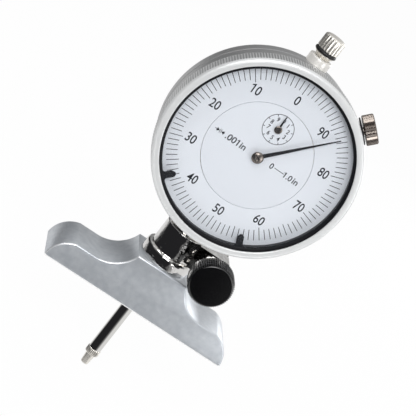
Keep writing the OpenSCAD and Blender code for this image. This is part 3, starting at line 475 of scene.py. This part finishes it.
# a copy of a CAD solid, merged, with a small bevel of a width on its sharp edges
def bevelledCopy(node, finish, body, width):
    mesh = nodes[node].data.copy()
    mesh.materials.clear()
    mendMesh(mesh, merge=1e-6, melt=True)
    smoothFaces(mesh)
    piece = showMesh(node + "Rounded", mesh, finish, body, node)
    if width:
        bevel = piece.modifiers.new("bevel", "BEVEL")
        bevel.width = width * mm
        bevel.segments = 2
        bevel.limit_method = "ANGLE"
        bevel.angle_limit = math.radians(sharpAngle)


# the mesh that an object shows, with its modifiers or from its letters
def shownMesh(item):
    bpy.context.view_layer.update()
    return bpy.data.meshes.new_from_object(item.evaluated_get(bpy.context.evaluated_depsgraph_get()))


# joins a block or bar to a piece (UNION) or takes it off (DIFFERENCE), and keeps the result as the piece's mesh
def combine(piece, operation, mesh):
    tool = bpy.data.objects.new("tool", mesh)
    bpy.context.scene.collection.objects.link(tool)
    step = piece.modifiers.new("combine", "BOOLEAN")
    step.operation = operation
    step.solver = "EXACT"
    step.object = tool
    result = shownMesh(piece)
    piece.modifiers.clear()
    piece.data = result
    bpy.data.objects.remove(tool)


# takes blocks and bars off a piece
def cutHoles(piece, tools):
    for tool in tools:
        combine(piece, "DIFFERENCE", tool)
    piece.data.set_sharp_from_angle(angle=math.radians(sharpAngle))


# a round bar for cutting: the ring of its end, carried along its axis
def barMesh(radius, low, high, axis, steps=96):
    centre, u, v, w = axes[axis]
    turn = fullTurn(steps)
    ring = np.array(centre) + radius * (np.cos(turn) * u + np.sin(turn) * v)
    mesh = newMesh("bar", np.concatenate([ring + low * w, ring + high * w]), tubeFaces(2, steps))
    mendMesh(mesh, outwards=True)
    return mesh


# a block between two opposite corners
def boxMesh(low, high):
    xs, ys, zs = zip(low, high)
    return newMesh("block", [(x, y, z) for z in zs for y in ys for x in xs],
                   [(0, 2, 3, 1), (4, 5, 7, 6), (0, 1, 5, 4), (2, 6, 7, 3), (0, 4, 6, 2), (1, 3, 7, 5)])


base = dict(length=60.0, depth=16.4, height=15.0, wing=7.8, end=8.0, scoop=10.2, boss=15.6, edge=0.45, foot=0.5,
            spindleHole=2.4, spigotHole=5.52, spigotFloor=7)


# outline from the right foot over the wing, up the scoop, across the boss and down again; the wing's end and the
# scoop are arcs, and the front and back edges are a small quarter round carried along the whole outline
def buildBase():
    b = named(base)
    endX, scoopX = b.length / 2 - b.end, b.boss / 2 + b.scoop
    t = np.linspace(0.06, math.asin(b.wing / b.end), 16)
    wing = np.stack([endX + b.end * np.cos(t), b.end * np.sin(t)], 1)
    last = math.acos((b.wing + b.scoop - b.height) / b.scoop)
    t = np.linspace(0, last * 0.985, 26)   # stops short of the boss, which the crest's corner finishes
    scoop = np.stack([scoopX - b.scoop * np.sin(t), b.wing + b.scoop - b.scoop * np.cos(t)], 1)
    foot = [(b.length / 2 - b.foot, 0)]
    crest = [(scoopX - b.scoop * math.sin(last) - 0.3, b.height)]
    half = np.concatenate([foot, wing, scoop, crest])
    outline = np.concatenate([half, half[::-1] * [-1, 1]])
    t = np.linspace(0, np.pi / 2, 4)
    inset, rise = b.edge * (1 - np.sin(t)), b.edge * (1 - np.cos(t))
    places = np.concatenate([-b.depth / 2 + rise, b.depth / 2 - rise[::-1]])
    points = stackOutline(outline, np.concatenate([inset, inset[::-1]]), places)
    piece = addPiece("measuringBase", points, tubeFaces(len(places), len(outline)), groundSteel, "base",
                     "base_block", sharp=24)
    over = b.height + 1
    cutHoles(piece, [barMesh(b.spindleHole, -1, over, "spindle"),
                     barMesh(b.spigotHole, b.spigotFloor, over, "spindle")])


buildBase()
print("base ready")

holder = dict(bore=4.03, spigot=5.5, foot=7, ring=7.6, ringFoot=15, ringTop=18.7, barrel=6.3, top=26.5, ear=14.4,
              earRoot=4.6, earDepth=12.0, earFoot=19.2, slit=1.0, screwHole=1.6)


# spigot, ring and barrel are one turned profile; the ear is a block joined to the barrel, and the slit, the screw's
# hole and the stem's bore are then cut through both
def buildHolder():
    h = named(holder)
    piece = turnedPiece("clampHolder", [
        (h.bore, h.foot, 0.2), (h.spigot, h.foot, 0.3), (h.spigot, h.ringFoot),
        (h.ring - 0.25, h.ringFoot, 0.12), (h.ring, h.ringFoot + 0.3, 0.3), (h.ring, h.ringTop, 1.3),
        (h.barrel, h.ringTop + 0.05), (h.barrel, h.top, 0.35), (h.bore, h.top, 0.25)],
        "spindle", chrome, "base", "stem_holder", steps=128)
    combine(piece, "UNION", boxMesh((h.earRoot, -h.earDepth / 2, h.earFoot),
                                    (h.ear, h.earDepth / 2, h.top)))
    cutHoles(piece, [boxMesh((0, -h.slit / 2, h.earFoot), (h.ear + 1, h.slit / 2, h.top + 1)),
                     barMesh(h.screwHole, -8, 8, "clamp"), barMesh(h.bore, 8, 28, "spindle")])
    mendMesh(piece.data, merge=2e-6)
    piece.data.set_sharp_from_angle(angle=math.radians(sharpAngle))


buildHolder()

knob = dict(radius=6.6, front=16.0, back=10.2, hub=3.94, hubBack=6.9, bore=1.5, boreEnd=13.2, teeth=64, depth=0.42)


# a turned hub and a knurled rim, bored for the screw
def buildKnob():
    k = named(knob)
    turnedPiece("clampKnob", [
        (k.bore, k.boreEnd), (k.bore, k.hubBack), (k.hub, k.hubBack, 0.3),
        (k.hub, k.back - 0.1, 0.3), (k.radius - 0.9, k.back, 0.1), (k.radius - 0.35, k.back + 0.2),
        (k.radius, k.back + 0.5), (k.radius, k.front - 0.7), (k.radius - 0.5, k.front - 0.2),
        (k.radius - 0.75, k.front, 0.1), (0, k.front)],
        "clamp", blackPlastic, "clamp_turn", "clamp_knob", sharp=28,
        knurl=dict(teeth=k.teeth, depth=k.depth, low=k.back + 0.3, high=k.front - 0.7,
                   over=k.radius - 0.1))


buildKnob()
turnedPiece("clampWasher", ringProfile(1.55, 4.22, 6.05, 6.85, (0.1, 0.15, 0.15, 0.1)), "clamp", polishedSteel,
            "clamp_slide", "clamp_washer", steps=96)

screw = dict(radius=1.5, tail=-6.5, head=knob["boreEnd"], pitch=0.5, thread=0.12, threadEnd=-0.5)


# thread: the radius falls in a triangle wave along the screw, one wave for each pitch, shifted by the turn
def buildClampScrew():
    s = named(screw)
    along = np.arange(s.tail + 0.25, s.head + 1e-9, s.pitch / 6)
    turn = fullTurn(48)
    wave = np.abs(2 * ((along[None] / s.pitch - turn / (2 * np.pi)) % 1) - 1)
    radius = s.radius - s.thread * wave * (along[None] < s.threadEnd)
    pole = np.zeros_like(turn)
    radius = np.concatenate([pole, pole + s.radius - 0.35, radius, pole], 1)
    along = np.concatenate([[s.tail, s.tail], along, [s.head]])
    addPiece("clampScrew", goRound(radius, along, turn, "clamp"), gridFaces(len(turn), len(along), True, False),
             polishedSteel, "clamp_turn", "clamp_screw", sharp=40)


buildClampScrew()
print("holder and clamp ready")

stem = dict(bore=3.12, radius=4, foot=8, collar=5.6, shoulder=5, collarFoot=27, collarTop=31.2, top=35.3)
case = dict(radius=27.6, front=9.3, mouth=26.05, seat=25.7, seatBack=2.4, seatFront=4.4, bore=22.6, trim=2.6,
            taperStart=-1.5, taper=25.6, back=-6.0, stemHole=4.02, bushHole=2.62, padHole=1.26, lockHole=1.06)
cover = dict(radius=25.3, back=-7.6, groove=21.4)
boss = dict(radius=1.85, low=27.32, high=28.7)
bush = dict(bore=1.93, neck=2.6, foot=81.0, shoulder=84.9, radius=3.45, top=88.1)


# all are turned profiles: the stem with its collar, the case with a trim groove and a tapered back, the back cover
# with its groove, the lock's boss, and the bush under the lifting cap
def buildCase():
    s, c, v, o, b = map(named, (stem, case, cover, boss, bush))
    turnedPiece("stemTube", [
        (s.bore, s.foot, 0.2), (s.radius, s.foot, 0.3), (s.radius, s.collarFoot),
        (s.shoulder, s.collarFoot, 0.2), (s.collar, s.collarFoot + 0.6, 0.2), (s.collar, s.collarTop),
        (s.radius, s.collarTop + 0.2), (s.radius, s.top), (s.bore, s.top)],
        "spindle", polishedSteel, "indicator", "stem", steps=96)
    shell = turnedPiece("caseShell", [
        (c.mouth, c.front, 0.1), (c.radius, c.front, 0.25), (c.radius, c.trim + 0.5),
        (c.radius - 0.12, c.trim + 0.35), (c.radius - 0.12, c.trim + 0.15), (c.radius, c.trim),
        (c.radius, c.taperStart, 1.2), (c.taper, c.back, 0.5), (c.bore, c.back, 0.1),
        (c.bore, c.seatBack), (c.seat, c.seatBack), (c.seat, c.seatFront),
        (c.mouth, c.seatFront)], "dial", caseAlloy, "indicator", "case", steps=192)
    cutHoles(shell, [barMesh(c.stemHole, 26, 40, "spindle", 64), barMesh(c.bushHole, 78, 88, "spindle", 64),
                     barMesh(c.padHole, 24, 27.29, "lock", 48), barMesh(c.lockHole, 24, 29, "lock", 48)])
    turnedPiece("backCover", [
        (0, c.back), (v.radius, c.back, 0.1), (v.radius, v.back, 0.7), (v.groove + 0.2, v.back, 0.05),
        (v.groove, v.back + 0.15, 0.05), (v.groove - 0.2, v.back, 0.05), (0, v.back)],
        "dial", caseAlloy, "indicator", "back_cover", steps=192)
    turnedPiece("lockBoss", ringProfile(c.lockHole, o.radius, o.low, o.high, (0, 0, 0.15, 0)), "lock",
                caseAlloy, "indicator", steps=48)
    turnedPiece("topBushing", [
        (b.bore, b.foot, 0.1), (b.neck, b.foot, 0.1), (b.neck, b.shoulder),
        (b.radius, b.shoulder), (b.radius, b.top, 0.45), (b.bore, b.top, 0.2)],
        "spindle", bushAlloy, "indicator", "top_bushing", steps=96)


buildCase()
bevelledCopy("back_cover_screws", polishedSteel, "indicator", 0.08)
print("case ready")

bezel = dict(radius=28.6, front=15.3, back=9.4, opening=26.35, line=27.63, shoulder=28.25, bore=27.0, lip=14.9,
             skirt=26.0, skirtBore=25.0, skirtBack=4.6, snap=25.55, snapBack=5.0, snapFront=5.8, teeth=236, depth=0.17)
dial = dict(back=10.45, front=10.95, radius=26.9, ringBore=15.35, centreRadius=15.25, hole=1.2, counterHole=0.8,
            ink=0.012, sink=0.002, outer=24.5, long=20.75, half=21.1, short=21.45, turn=-2.0, line=0.19, numbers=18.6,
            numberSize=3.75, wide=0.82)
crystal = dict(radius=26.29, back=13.1, front=14.3, gasket=26.33, lip=25.5)
shade = dict(inner=25.9, step=26.5, stepBack=12.5)   # the black ring between dial and crystal


# turned profiles about the dial's axis: the knurled bezel with a turned line in its front, and what it holds
def buildBezel():
    b, c, s, d = map(named, (bezel, crystal, shade, dial))
    turnedPiece("bezelRing", [
        (b.opening, b.front - 0.15, 0.12), (b.opening + 0.2, b.front, 0.1),
        (b.line - 0.08, b.front, 0.03), (b.line, b.front - 0.07, 0.02),
        (b.line + 0.09, b.front - 0.02, 0.03), (b.shoulder, b.front - 0.18, 0.25),
        (b.radius - 0.12, b.front - 0.75, 0.1), (b.radius, b.front - 1.0), (b.radius, b.back + 0.35),
        (b.radius - 0.2, b.back, 0.1), (b.skirt, b.back), (b.skirt, b.snapFront),
        (b.snap, b.snapFront), (b.snap, b.snapBack), (b.skirt, b.snapBack),
        (b.skirt, b.skirtBack, 0.1), (b.skirtBore, b.skirtBack, 0.1), (b.skirtBore, d.back),
        (b.bore, d.back), (b.bore, b.lip), (b.opening, b.lip)],
        "dial", bezelAlloy, "bezel", "bezel", sharp=30,
        knurl=dict(teeth=b.teeth, depth=b.depth, low=b.back + 0.3, high=b.front - 0.9,
                   over=b.radius - 0.05))
    seat = b.bore - 0.03
    turnedPiece("innerRing", [
        (s.step, c.back), (seat, c.back), (seat, d.front), (s.inner, d.front, 0.1),
        (s.inner, s.stepBack, 0.1), (s.step, s.stepBack)],
        "dial", blackPaint, "bezel", "inner_ring", steps=192)
    turnedPiece("crystalGasket", ringProfile(c.gasket, seat, b.lip, c.back), "dial", blackRubber, "bezel",
                "crystal_gasket", steps=192)
    turnedPiece("gasketLip", [
        (c.lip, c.front + 0.02, 0.05), (c.gasket + 0.01, c.front + 0.02),
        (c.gasket + 0.01, c.front + 0.3, 0.1), (c.lip, c.front + 0.12, 0.05)],
        "dial", blackPaint, "bezel", steps=192)
    turnedPiece("crystalDisc", [(0, c.back), (c.radius, c.back, 0.05), (c.radius, c.front, 0.25),
                                (0, c.front)], "dial", clearCrystal, "bezel", "crystal", steps=192)


# the dial is a ring that turns with the bezel and a middle that stays, both with a small rounding at their joint
def buildDial():
    d = named(dial)
    turnedPiece("dialRing", ringProfile(d.ringBore, d.radius, d.back, d.front, (0, 0, 0, 0.06)), "dial",
                dialPaint, "bezel", "dial_ring", steps=192)
    centre = turnedPiece("dialCentre", ringProfile(d.hole, d.centreRadius, d.back, d.front, (0, 0, 0.06, 0)),
                         "dial", dialPaint, "indicator", "dial_centre", steps=192)
    cutHoles(centre, [barMesh(d.counterHole, 9, 12, "counter", 48)])


buildBezel()
buildDial()
for node, body in (("marker_left", "marker_a"), ("marker_right", "marker_b")):
    bevelledCopy(node, blackPaint, body, 0.06)
print("bezel ready")

inkFront, inkBack = dial["front"] + dial["ink"], dial["front"] - dial["sink"]   # the print's two faces


# every line is a thin box: its four corners (half width, radius) turned to its own angle
def radialLines(name, angles, inner, outer, width, z0, body):
    angles = np.radians(angles)[:, None]
    inner, outer, half = (np.broadcast_to(q, len(angles))[:, None] for q in (inner, outer, width / 2))
    side = np.concatenate([-half, half, half, -half], 1)
    reach = np.concatenate([inner, inner, outer, outer], 1)
    x = reach * np.sin(angles) + side * np.cos(angles)
    z = z0 + reach * np.cos(angles) - side * np.sin(angles)
    points = np.concatenate([np.stack([x, np.full_like(x, -y), z], -1) for y in (inkFront, inkBack)], 1)
    box = np.array([[0, 1, 2, 3], [7, 6, 5, 4], [0, 4, 5, 1], [1, 5, 6, 2], [2, 6, 7, 3], [3, 7, 4, 0]])
    faces = (8 * np.arange(len(angles))[:, None, None] + box).reshape(-1, 4)
    addPiece(name, points, faces.tolist(), ink, body, sharp=20)


# a printed shape from its outline (x, z)
def inkPlate(name, outline, body, place=None):
    platePiece(name, outline, inkFront, inkBack, 0.003, ink, body, None, place)


flagStroke = [(0.04, 0), (-0.22, -0.15), (-0.22, -0.28), (0.04, -0.16)]   # of a figure 1, as shares of its height


# words as a mesh, laid on the dial: x is widened, the letters' height goes up z and half the ink's depth each way.
# fit scales them to a width and height, flag draws the stroke of a 1 at that share of the words' width, and turn
# turns the whole about the dial's axis or the counter's
def dialWords(name, words, size, x, z, body, wide=1.0, z0=dialZ, turn=0.0, weight=0.0, fit=None, flag=None):
    curve = bpy.data.curves.new(name, "FONT")
    curve.body = words
    curve.size = size
    curve.align_x = "CENTER"
    curve.align_y = "CENTER"
    curve.extrude = dial["ink"] / 2
    curve.offset = weight
    curve.resolution_u = 4
    letters = bpy.data.objects.new(name, curve)
    bpy.context.scene.collection.objects.link(letters)
    mesh = shownMesh(letters)
    bpy.data.objects.remove(letters)
    points = np.empty(len(mesh.vertices) * 3)
    mesh.vertices.foreach_get("co", points)
    points = points.reshape(-1, 3)
    if fit:
        low, high = points.min(0)[:2], points.max(0)[:2]
        points[:, :2] = (points[:, :2] - (low + high) / 2) * np.array(fit) / (high - low)
    if flag is not None:
        left, right, top = points[:, 0].min(), points[:, 0].max(), points[:, 1].max()
        tall = top - points[:, 1].min()
        left, top = (left + flag * (right - left)) * wide, top - 0.02 * tall
        inkPlate(name + "Flag", [(x + left + tall * u, z0 + z + top + tall * v) for u, v in flagStroke], body,
                 clockwise(turn, z0))
    depth = -dial["front"] - dial["ink"] / 2 - points[:, 2]
    flat = np.stack([x + points[:, 0] * wide, depth, z0 + z + points[:, 1]], 1)
    mesh.vertices.foreach_set("co", (clockwise(turn, z0)(flat) * mm).ravel())
    mesh.name = name
    mesh.materials.clear()
    showMesh(name, mesh, ink, body)


# a hundred lines, longer at each fifth and tenth, and a number upright at each tenth, counted anticlockwise
def printOuterScale():
    d = named(dial)
    count = np.arange(100)
    inner = np.where(count % 10 == 0, d.long, np.where(count % 5 == 0, d.half, d.short))
    radialLines("outerScale", d.turn - 3.6 * count, inner, d.outer, d.line, dialZ, "bezel")
    for k in range(10):
        a = math.radians(-36 * k)
        dialWords("number%d" % (10 * k), str(10 * k), d.numberSize, d.numbers * math.sin(a),
                  d.numbers * math.cos(a), "bezel", d.wide, turn=d.turn, weight=0.045,
                  flag=0.0 if k == 1 else None)


counter = dict(radius=4.3, tick=0.6, tickWidth=0.18, line=0.17, digits=2.75, size=1.75, wide=0.9)


# the same for the counter: ten lines inwards from a printed circle, and ten digits, counted clockwise
def printCounterScale():
    c = named(counter)
    radialLines("counterTicks", -36 * np.arange(10), c.radius - c.tick, c.radius, c.tickWidth, counterZ,
                "indicator")
    turnedPiece("counterRing", ringProfile(c.radius - c.line / 2, c.radius + c.line / 2, inkBack, inkFront),
                "counter", ink, "indicator", steps=96)
    for k in range(10):
        a = math.radians(36 * k)
        dialWords("digit%d" % k, str(k), c.size, c.digits * math.sin(a), c.digits * math.cos(a), "indicator",
                  c.wide, counterZ, weight=0.03)


centreWords = [
    dict(name="graduationWords", words=".001in", size=1.9, x=-7.1, weight=0.025, fit=(6.4, 1.9), flag=0.59),
    dict(name="rangeStart", words="0", size=1.75, x=4.85, weight=0.02, fit=(1.05, 1.7)),
    dict(name="rangeEnd", words="1.0", size=1.75, x=10.4, weight=0.02, fit=(2.4, 1.7), flag=0.0),
    dict(name="rangeUnit", words="in", size=1.75, x=12.8, weight=0.02, fit=(1.6, 1.7)),
]
arrow = dict(long=0.9, half=0.55, line=0.09, stop=0.07, stopHalf=0.6)


# the words beside the hands' axis, the dash between the two ends of the range, and two arrows, each a head, a
# shaft and a stop across its tip
def printCentre():
    for words in centreWords:
        dialWords(z=0, body="indicator", **words)
    w = arrow["line"]
    shapes = {"rangeDash": [(5.8, -w), (8.9, -w), (8.9, w), (5.8, w)]}
    for name, tip, tail in (("arrowLeft", -12.5, -14.0), ("arrowRight", -12.0, -10.9)):
        way = math.copysign(1, tip - tail)
        neck, middle = tip - way * arrow["long"], tip + 0.06 * way
        shapes[name] = [(tip, 0), (neck, arrow["half"]), (neck, w), (tail, w), (tail, -w), (neck, -w),
                        (neck, -arrow["half"])]
        shapes[name + "Stop"] = [(middle + s * arrow["stop"], h * arrow["stopHalf"])
                                 for s, h in ((-1, -1), (1, -1), (1, 1), (-1, 1))]
    for name, outline in shapes.items():
        inkPlate(name, [(x, z + dialZ) for x, z in outline], "indicator")


printOuterScale()
printCounterScale()
printCentre()
print("dial printed")

hand = dict(angle=42.5, reach=22.8, hub=1.5, width=1.1, tip=0.2, front=12.2, back=11.85)
smallHand = dict(angle=-4.0, reach=4.2, width=0.7, tip=0.16, front=11.5, back=11.2)


# each blade narrows from its hub to its tip, the main one with a round hub of its own, and is turned to the angle
# that it shows; the cap and the small hub are turned profiles
def buildHands():
    h, s = map(named, (hand, smallHand))
    side = math.asin(h.width / 2 / h.hub)
    t = np.linspace(side, 2 * np.pi - side, 40)
    blade = [(h.tip / 2, h.reach), *zip(h.hub * np.sin(t), h.hub * np.cos(t)), (-h.tip / 2, h.reach)]
    platePiece("mainHand", [(x, z + dialZ) for x, z in blade], h.front, h.back, 0.04, blackPaint,
               "centre_shaft", "main_hand", clockwise(h.angle, dialZ))
    turnedPiece("handCap", [
        (0.52, 11.5), (1.2, 11.5, 0.1), (1.2, 12.22), (1.68, 12.22), (1.68, 12.5, 0.15), (1.3, 12.8, 0.35),
        (0.62, 12.93, 0.1), (0.5, 12.8, 0.1), (0, 12.78)],
        "dial", knobAlloy, "centre_shaft", "main_hand_cap", steps=72)
    blade = [(s.width / 2, 0), (s.tip / 2, s.reach), (-s.tip / 2, s.reach), (-s.width / 2, 0)]
    platePiece("counterHand", [(x, z + counterZ) for x, z in blade], s.front, s.back, 0.03, blackPaint,
               "counter_shaft", "counter_hand", clockwise(s.angle, counterZ))
    turnedPiece("counterHandHub", [(0.5, 11.18), (1.1, 11.18, 0.1), (1.1, 11.52), (0.9, 11.62, 0.1), (0, 11.62)],
                "counter", knobAlloy, "counter_shaft", steps=48)


buildHands()
print("hands ready")

lock = dict(radius=4.2, low=29.46, high=32.75, teeth=28, depth=0.35, neck=1.0, end=27.0)
lockWasher = dict(bore=1.05, radius=3.78, low=28.75, high=29.1)


# a knurled knob on a plain neck, and the washer under it
def buildLock():
    k, w = map(named, (lock, lockWasher))
    turnedPiece("bezelLockKnob", [
        (0, k.end), (k.neck - 0.15, k.end), (k.neck, k.end + 0.15), (k.neck, k.low),
        (k.radius - 0.25, k.low), (k.radius, k.low + 0.2), (k.radius, k.high - 0.25),
        (k.radius - 0.25, k.high), (0, k.high)],
        "lock", knobAlloy, "lock_turn", "bezel_lock_knob", sharp=26,
        knurl=dict(teeth=k.teeth, depth=k.depth, low=k.low, high=k.high, over=k.radius - 0.26))
    turnedPiece("bezelLockWasher", ringProfile(w.bore, w.radius, w.low, w.high, (0, 0.1, 0.1, 0)), "lock",
                blackPaint, "indicator", "bezel_lock_washer", steps=72)


buildLock()
print("bezel lock ready")

tip = dict(collar=2.1, collarLow=-20.7, collarHigh=-18.7, bottom=-24.3, end=1.15, root=1.45, shank=1.0, top=-15.75,
           teeth=26, depth=0.2)


# a tapered point under a knurled collar, with the shank that goes into the spindle
def buildTip():
    t = named(tip)
    turnedPiece("contactPoint", [
        (0, t.bottom), (t.end, t.bottom, 0.3), (t.root, t.collarLow), (t.collar - 0.2, t.collarLow),
        (t.collar, t.collarLow + 0.2), (t.collar, t.collarHigh - 0.2),
        (t.collar - 0.2, t.collarHigh), (t.shank, t.collarHigh), (t.shank, t.top), (0, t.top)],
        "spindle", capAlloy, "spindle", "contact_point", sharp=26,
        knurl=dict(teeth=t.teeth, depth=t.depth, low=t.collarLow + 0.15, high=t.collarHigh - 0.15,
                   over=t.collar - 0.1))


cap = dict(radius=3.2, low=90.5, high=94.7, teeth=22, depth=0.26, bore=1.32, boreEnd=92.2, foot=88.22, flange=2.9,
           neck=2.3)
bumper = dict(middle=2.83, height=89.95, wire=0.52)


# a knurled cap over a flared foot, bored for the spindle; the bumper is a ring of round section under the knurl
def buildCap():
    c, r = map(named, (cap, bumper))
    turnedPiece("liftingCap", [
        (c.bore, c.boreEnd), (c.bore, c.foot), (2.0, c.foot, 0.1), (2.75, 89.1, 0.1),
        (c.flange, 89.3, 0.1), (c.flange, 89.4), (c.neck, 89.4), (c.neck, c.low),
        (c.radius - 0.3, c.low, 0.1), (c.radius, c.low + 0.3), (c.radius, c.high - 0.35),
        (c.radius - 0.35, c.high, 0.1), (c.radius - 0.9, c.high + 0.22, 0.3), (0, c.high + 0.34)],
        "spindle", capAlloy, "spindle", "lifting_cap", sharp=26,
        knurl=dict(teeth=c.teeth, depth=c.depth, low=c.low + 0.25, high=c.high - 0.3,
                   over=c.radius - 0.1, samples=6, steep=1.3))
    a = fullTurn(24)[:, 0]
    turnedPiece("bumperRing", list(zip(r.middle + r.wire * np.cos(a), r.height + r.wire * np.sin(a))),
                "spindle", blackRubber, "spindle", "bumper_ring", steps=96)


buildTip()
buildCap()
bevelledCopy("spindle", polishedSteel, "spindle", 0)
print("spindle ready")

# the pieces inside stay as the CAD made them: these are brass, and the others are steel
brassNodes = ("stem_bushes", "bezel_lock_pad", "movement_plate", "front_bridge", "bridge_pillars", "rack_bridge",
              "rack_bridge_posts", "pivot_bushes", "drive_gear", "take_up_gear", "guide_rail")
for name, item in nodes.items():
    item.data.materials.clear()
    item.data.materials.append(brassPlate if name in brassNodes else polishedSteel)
print("inner pieces finished")

studio = dict(floorZ=-24.35, front=-120, back=3000, side=3000, glow=0.96, world=1.0)


# what a mirror ray sees, by its direction: dark in front, bright to the right, behind and straight below
def buildMirrored():
    group, ins, outs = makeGroup("mirroredRoom", [("Direction", "Vector", (0, 0, 1))],
                                 [("Room", "Color")])
    x, y, z = splitVector(group, ins["Direction"])
    share = scaled(group, mathNode(group, "LESS_THAN", z, 0.02), 0.55, 0.45)
    toRight = scaled(group, x, 0.93, mathNode(group, "MULTIPLY", scaled(group, y, 0.36, 0.14), share))
    behind = mathNode(group, "ADD", scaled(group, x, 0.5, mathNode(group, "MULTIPLY", y, 0.87)), 0.25)
    behind = mathNode(group, "MULTIPLY", behind, mathNode(group, "LESS_THAN", z, -0.02))
    below, above = scaled(group, z, -2.2, -1.0), scaled(group, z, 1.2, -0.25)
    most = mathNode(group, "MAXIMUM", mathNode(group, "MAXIMUM", toRight, behind),
                    mathNode(group, "MAXIMUM", below, above))
    greys = [(0.05, (0.02, 0.02, 0.022)), (0.35, (0.3, 0.3, 0.3)), (0.6, (0.85, 0.85, 0.85))]
    feed(group, outs["Room"], rampNode(group, most, greys))
    return group


mirroredGroup = buildMirrored()


# a flat floor that is white for the camera, the mirrored room for mirror rays, and pale paper for all other light
def buildFloor():
    s = named(studio)
    corners = [(x, y, s.floorZ) for x, y in ((-s.side, s.front), (s.side, s.front),
                                                (s.side, s.back), (-s.side, s.back))]
    mesh = newMesh("floor", corners, [(0, 1, 2, 3)])
    floor = bpy.data.objects.new("floor", mesh)
    bpy.context.scene.collection.objects.link(floor)
    paper, tree, shader = makeMaterial("paper", {
        "Base Color": (0.97, 0.97, 0.97), "Roughness": 0.9, "Specular IOR Level": 0.0})
    paths = addNode(tree, "LightPath").outputs
    incoming = addNode(tree, "NewGeometry").outputs["Incoming"]
    direction = vectorNode(tree, "MULTIPLY", incoming, (-1, -1, -1))
    room = placeGroup(tree, mirroredGroup, {"Direction": direction})["Room"]
    white, mirrored = addNode(tree, "Emission"), addNode(tree, "Emission", {"Color": room})
    glow = mathNode(tree, "MULTIPLY", paths["Is Camera Ray"], s.glow)
    seen = mixShaders(tree, glow, shader.outputs[0], white.outputs[0])
    both = mixShaders(tree, paths["Is Glossy Ray"], seen, mirrored.outputs[0])
    feed(tree, tree.nodes["Material Output"].inputs["Surface"], both)
    mesh.materials.append(paper)


# the world: white for the camera, the mirrored room for mirror rays, and otherwise grey, lighter towards the top
def buildWorld():
    world = bpy.data.worlds.new("studio")
    bpy.context.scene.world = world
    world.use_nodes = True
    tree = world.node_tree
    place = addNode(tree, "TexCoord").outputs["Generated"]
    paths = addNode(tree, "LightPath").outputs
    height = scaled(tree, splitVector(tree, place)[2], 0.5, 0.5)
    soft = rampNode(tree, height, [(0.5, (0.2, 0.2, 0.21)), (0.9, (0.6, 0.6, 0.6))])
    room = placeGroup(tree, mirroredGroup, {"Direction": place})["Room"]
    sky = feedAll(tree, tree.nodes["Background"], {
        "Color": mixColour(tree, paths["Is Glossy Ray"], soft, room), "Strength": studio["world"]})
    clean = addNode(tree, "Background", {"Color": (1, 1, 1)})
    both = mixShaders(tree, paths["Is Camera Ray"], sky.outputs[0], clean.outputs[0])
    feed(tree, tree.nodes["World Output"].inputs["Surface"], both)


lamps = [   # places and sizes in metres, power in watts
    dict(name="keyPanel", place=(-0.14, -0.74, 0.42), size=0.45, power=3.95),
    dict(name="fillPanel", place=(0.3, -0.33, 0.03), size=0.2, power=0.4),
    dict(name="backPanel", place=(0.3, 0.3, 0.16), size=0.25, power=0.4),
    dict(name="edgePanel", place=(-0.55, -0.32, 0.55), size=0.08, power=0.6),
]
lampAim = Vector((0, 0, 0.04))


# square panels that face one point of the gauge
def buildLamps():
    for panel in lamps:
        light = bpy.data.lights.new(panel["name"], "AREA")
        light.shape = "SQUARE"
        light.size = panel["size"]
        light.energy = panel["power"]
        lamp = bpy.data.objects.new(panel["name"], light)
        lamp.location = panel["place"]
        lamp.rotation_mode = "QUATERNION"
        lamp.rotation_quaternion = (Vector(panel["place"]) - lampAim).to_track_quat("Z", "Y")
        lamp.visible_camera = False
        bpy.context.scene.collection.objects.link(lamp)


# camera of the photograph: its right, down and forward directions in the part's frame, and its focal length in
# pixels of a picture 416 wide
camera = dict(place=(-110.184, -440.189, 169.65), right=(0.806661, -0.022901, 0.590571),
              down=(0.542502, -0.367785, -0.755265), forward=(0.234499, 0.929629, -0.284254),
              focal=1700, picture=416, sensor=36, near=0.01, far=20)


# the directions are the columns of the camera's rotation, with down and forward turned round
def buildCamera():
    c = named(camera)
    data = bpy.data.cameras.new("photoCamera")
    data.lens = c.focal / c.picture * c.sensor
    data.sensor_width = c.sensor
    data.clip_start = c.near
    data.clip_end = c.far
    eye = bpy.data.objects.new("photoCamera", data)
    turn = Matrix((c.right, [-q for q in c.down], [-q for q in c.forward])).transposed()
    eye.matrix_world = Matrix.Translation(Vector(c.place) * mm) @ turn.to_4x4()
    bpy.context.scene.collection.objects.link(eye)
    bpy.context.scene.camera = eye


buildFloor()
buildWorld()
buildLamps()
buildCamera()
bpy.context.scene.view_settings.view_transform = "Standard"
print("studio ready")

bpy.context.view_layer.update()
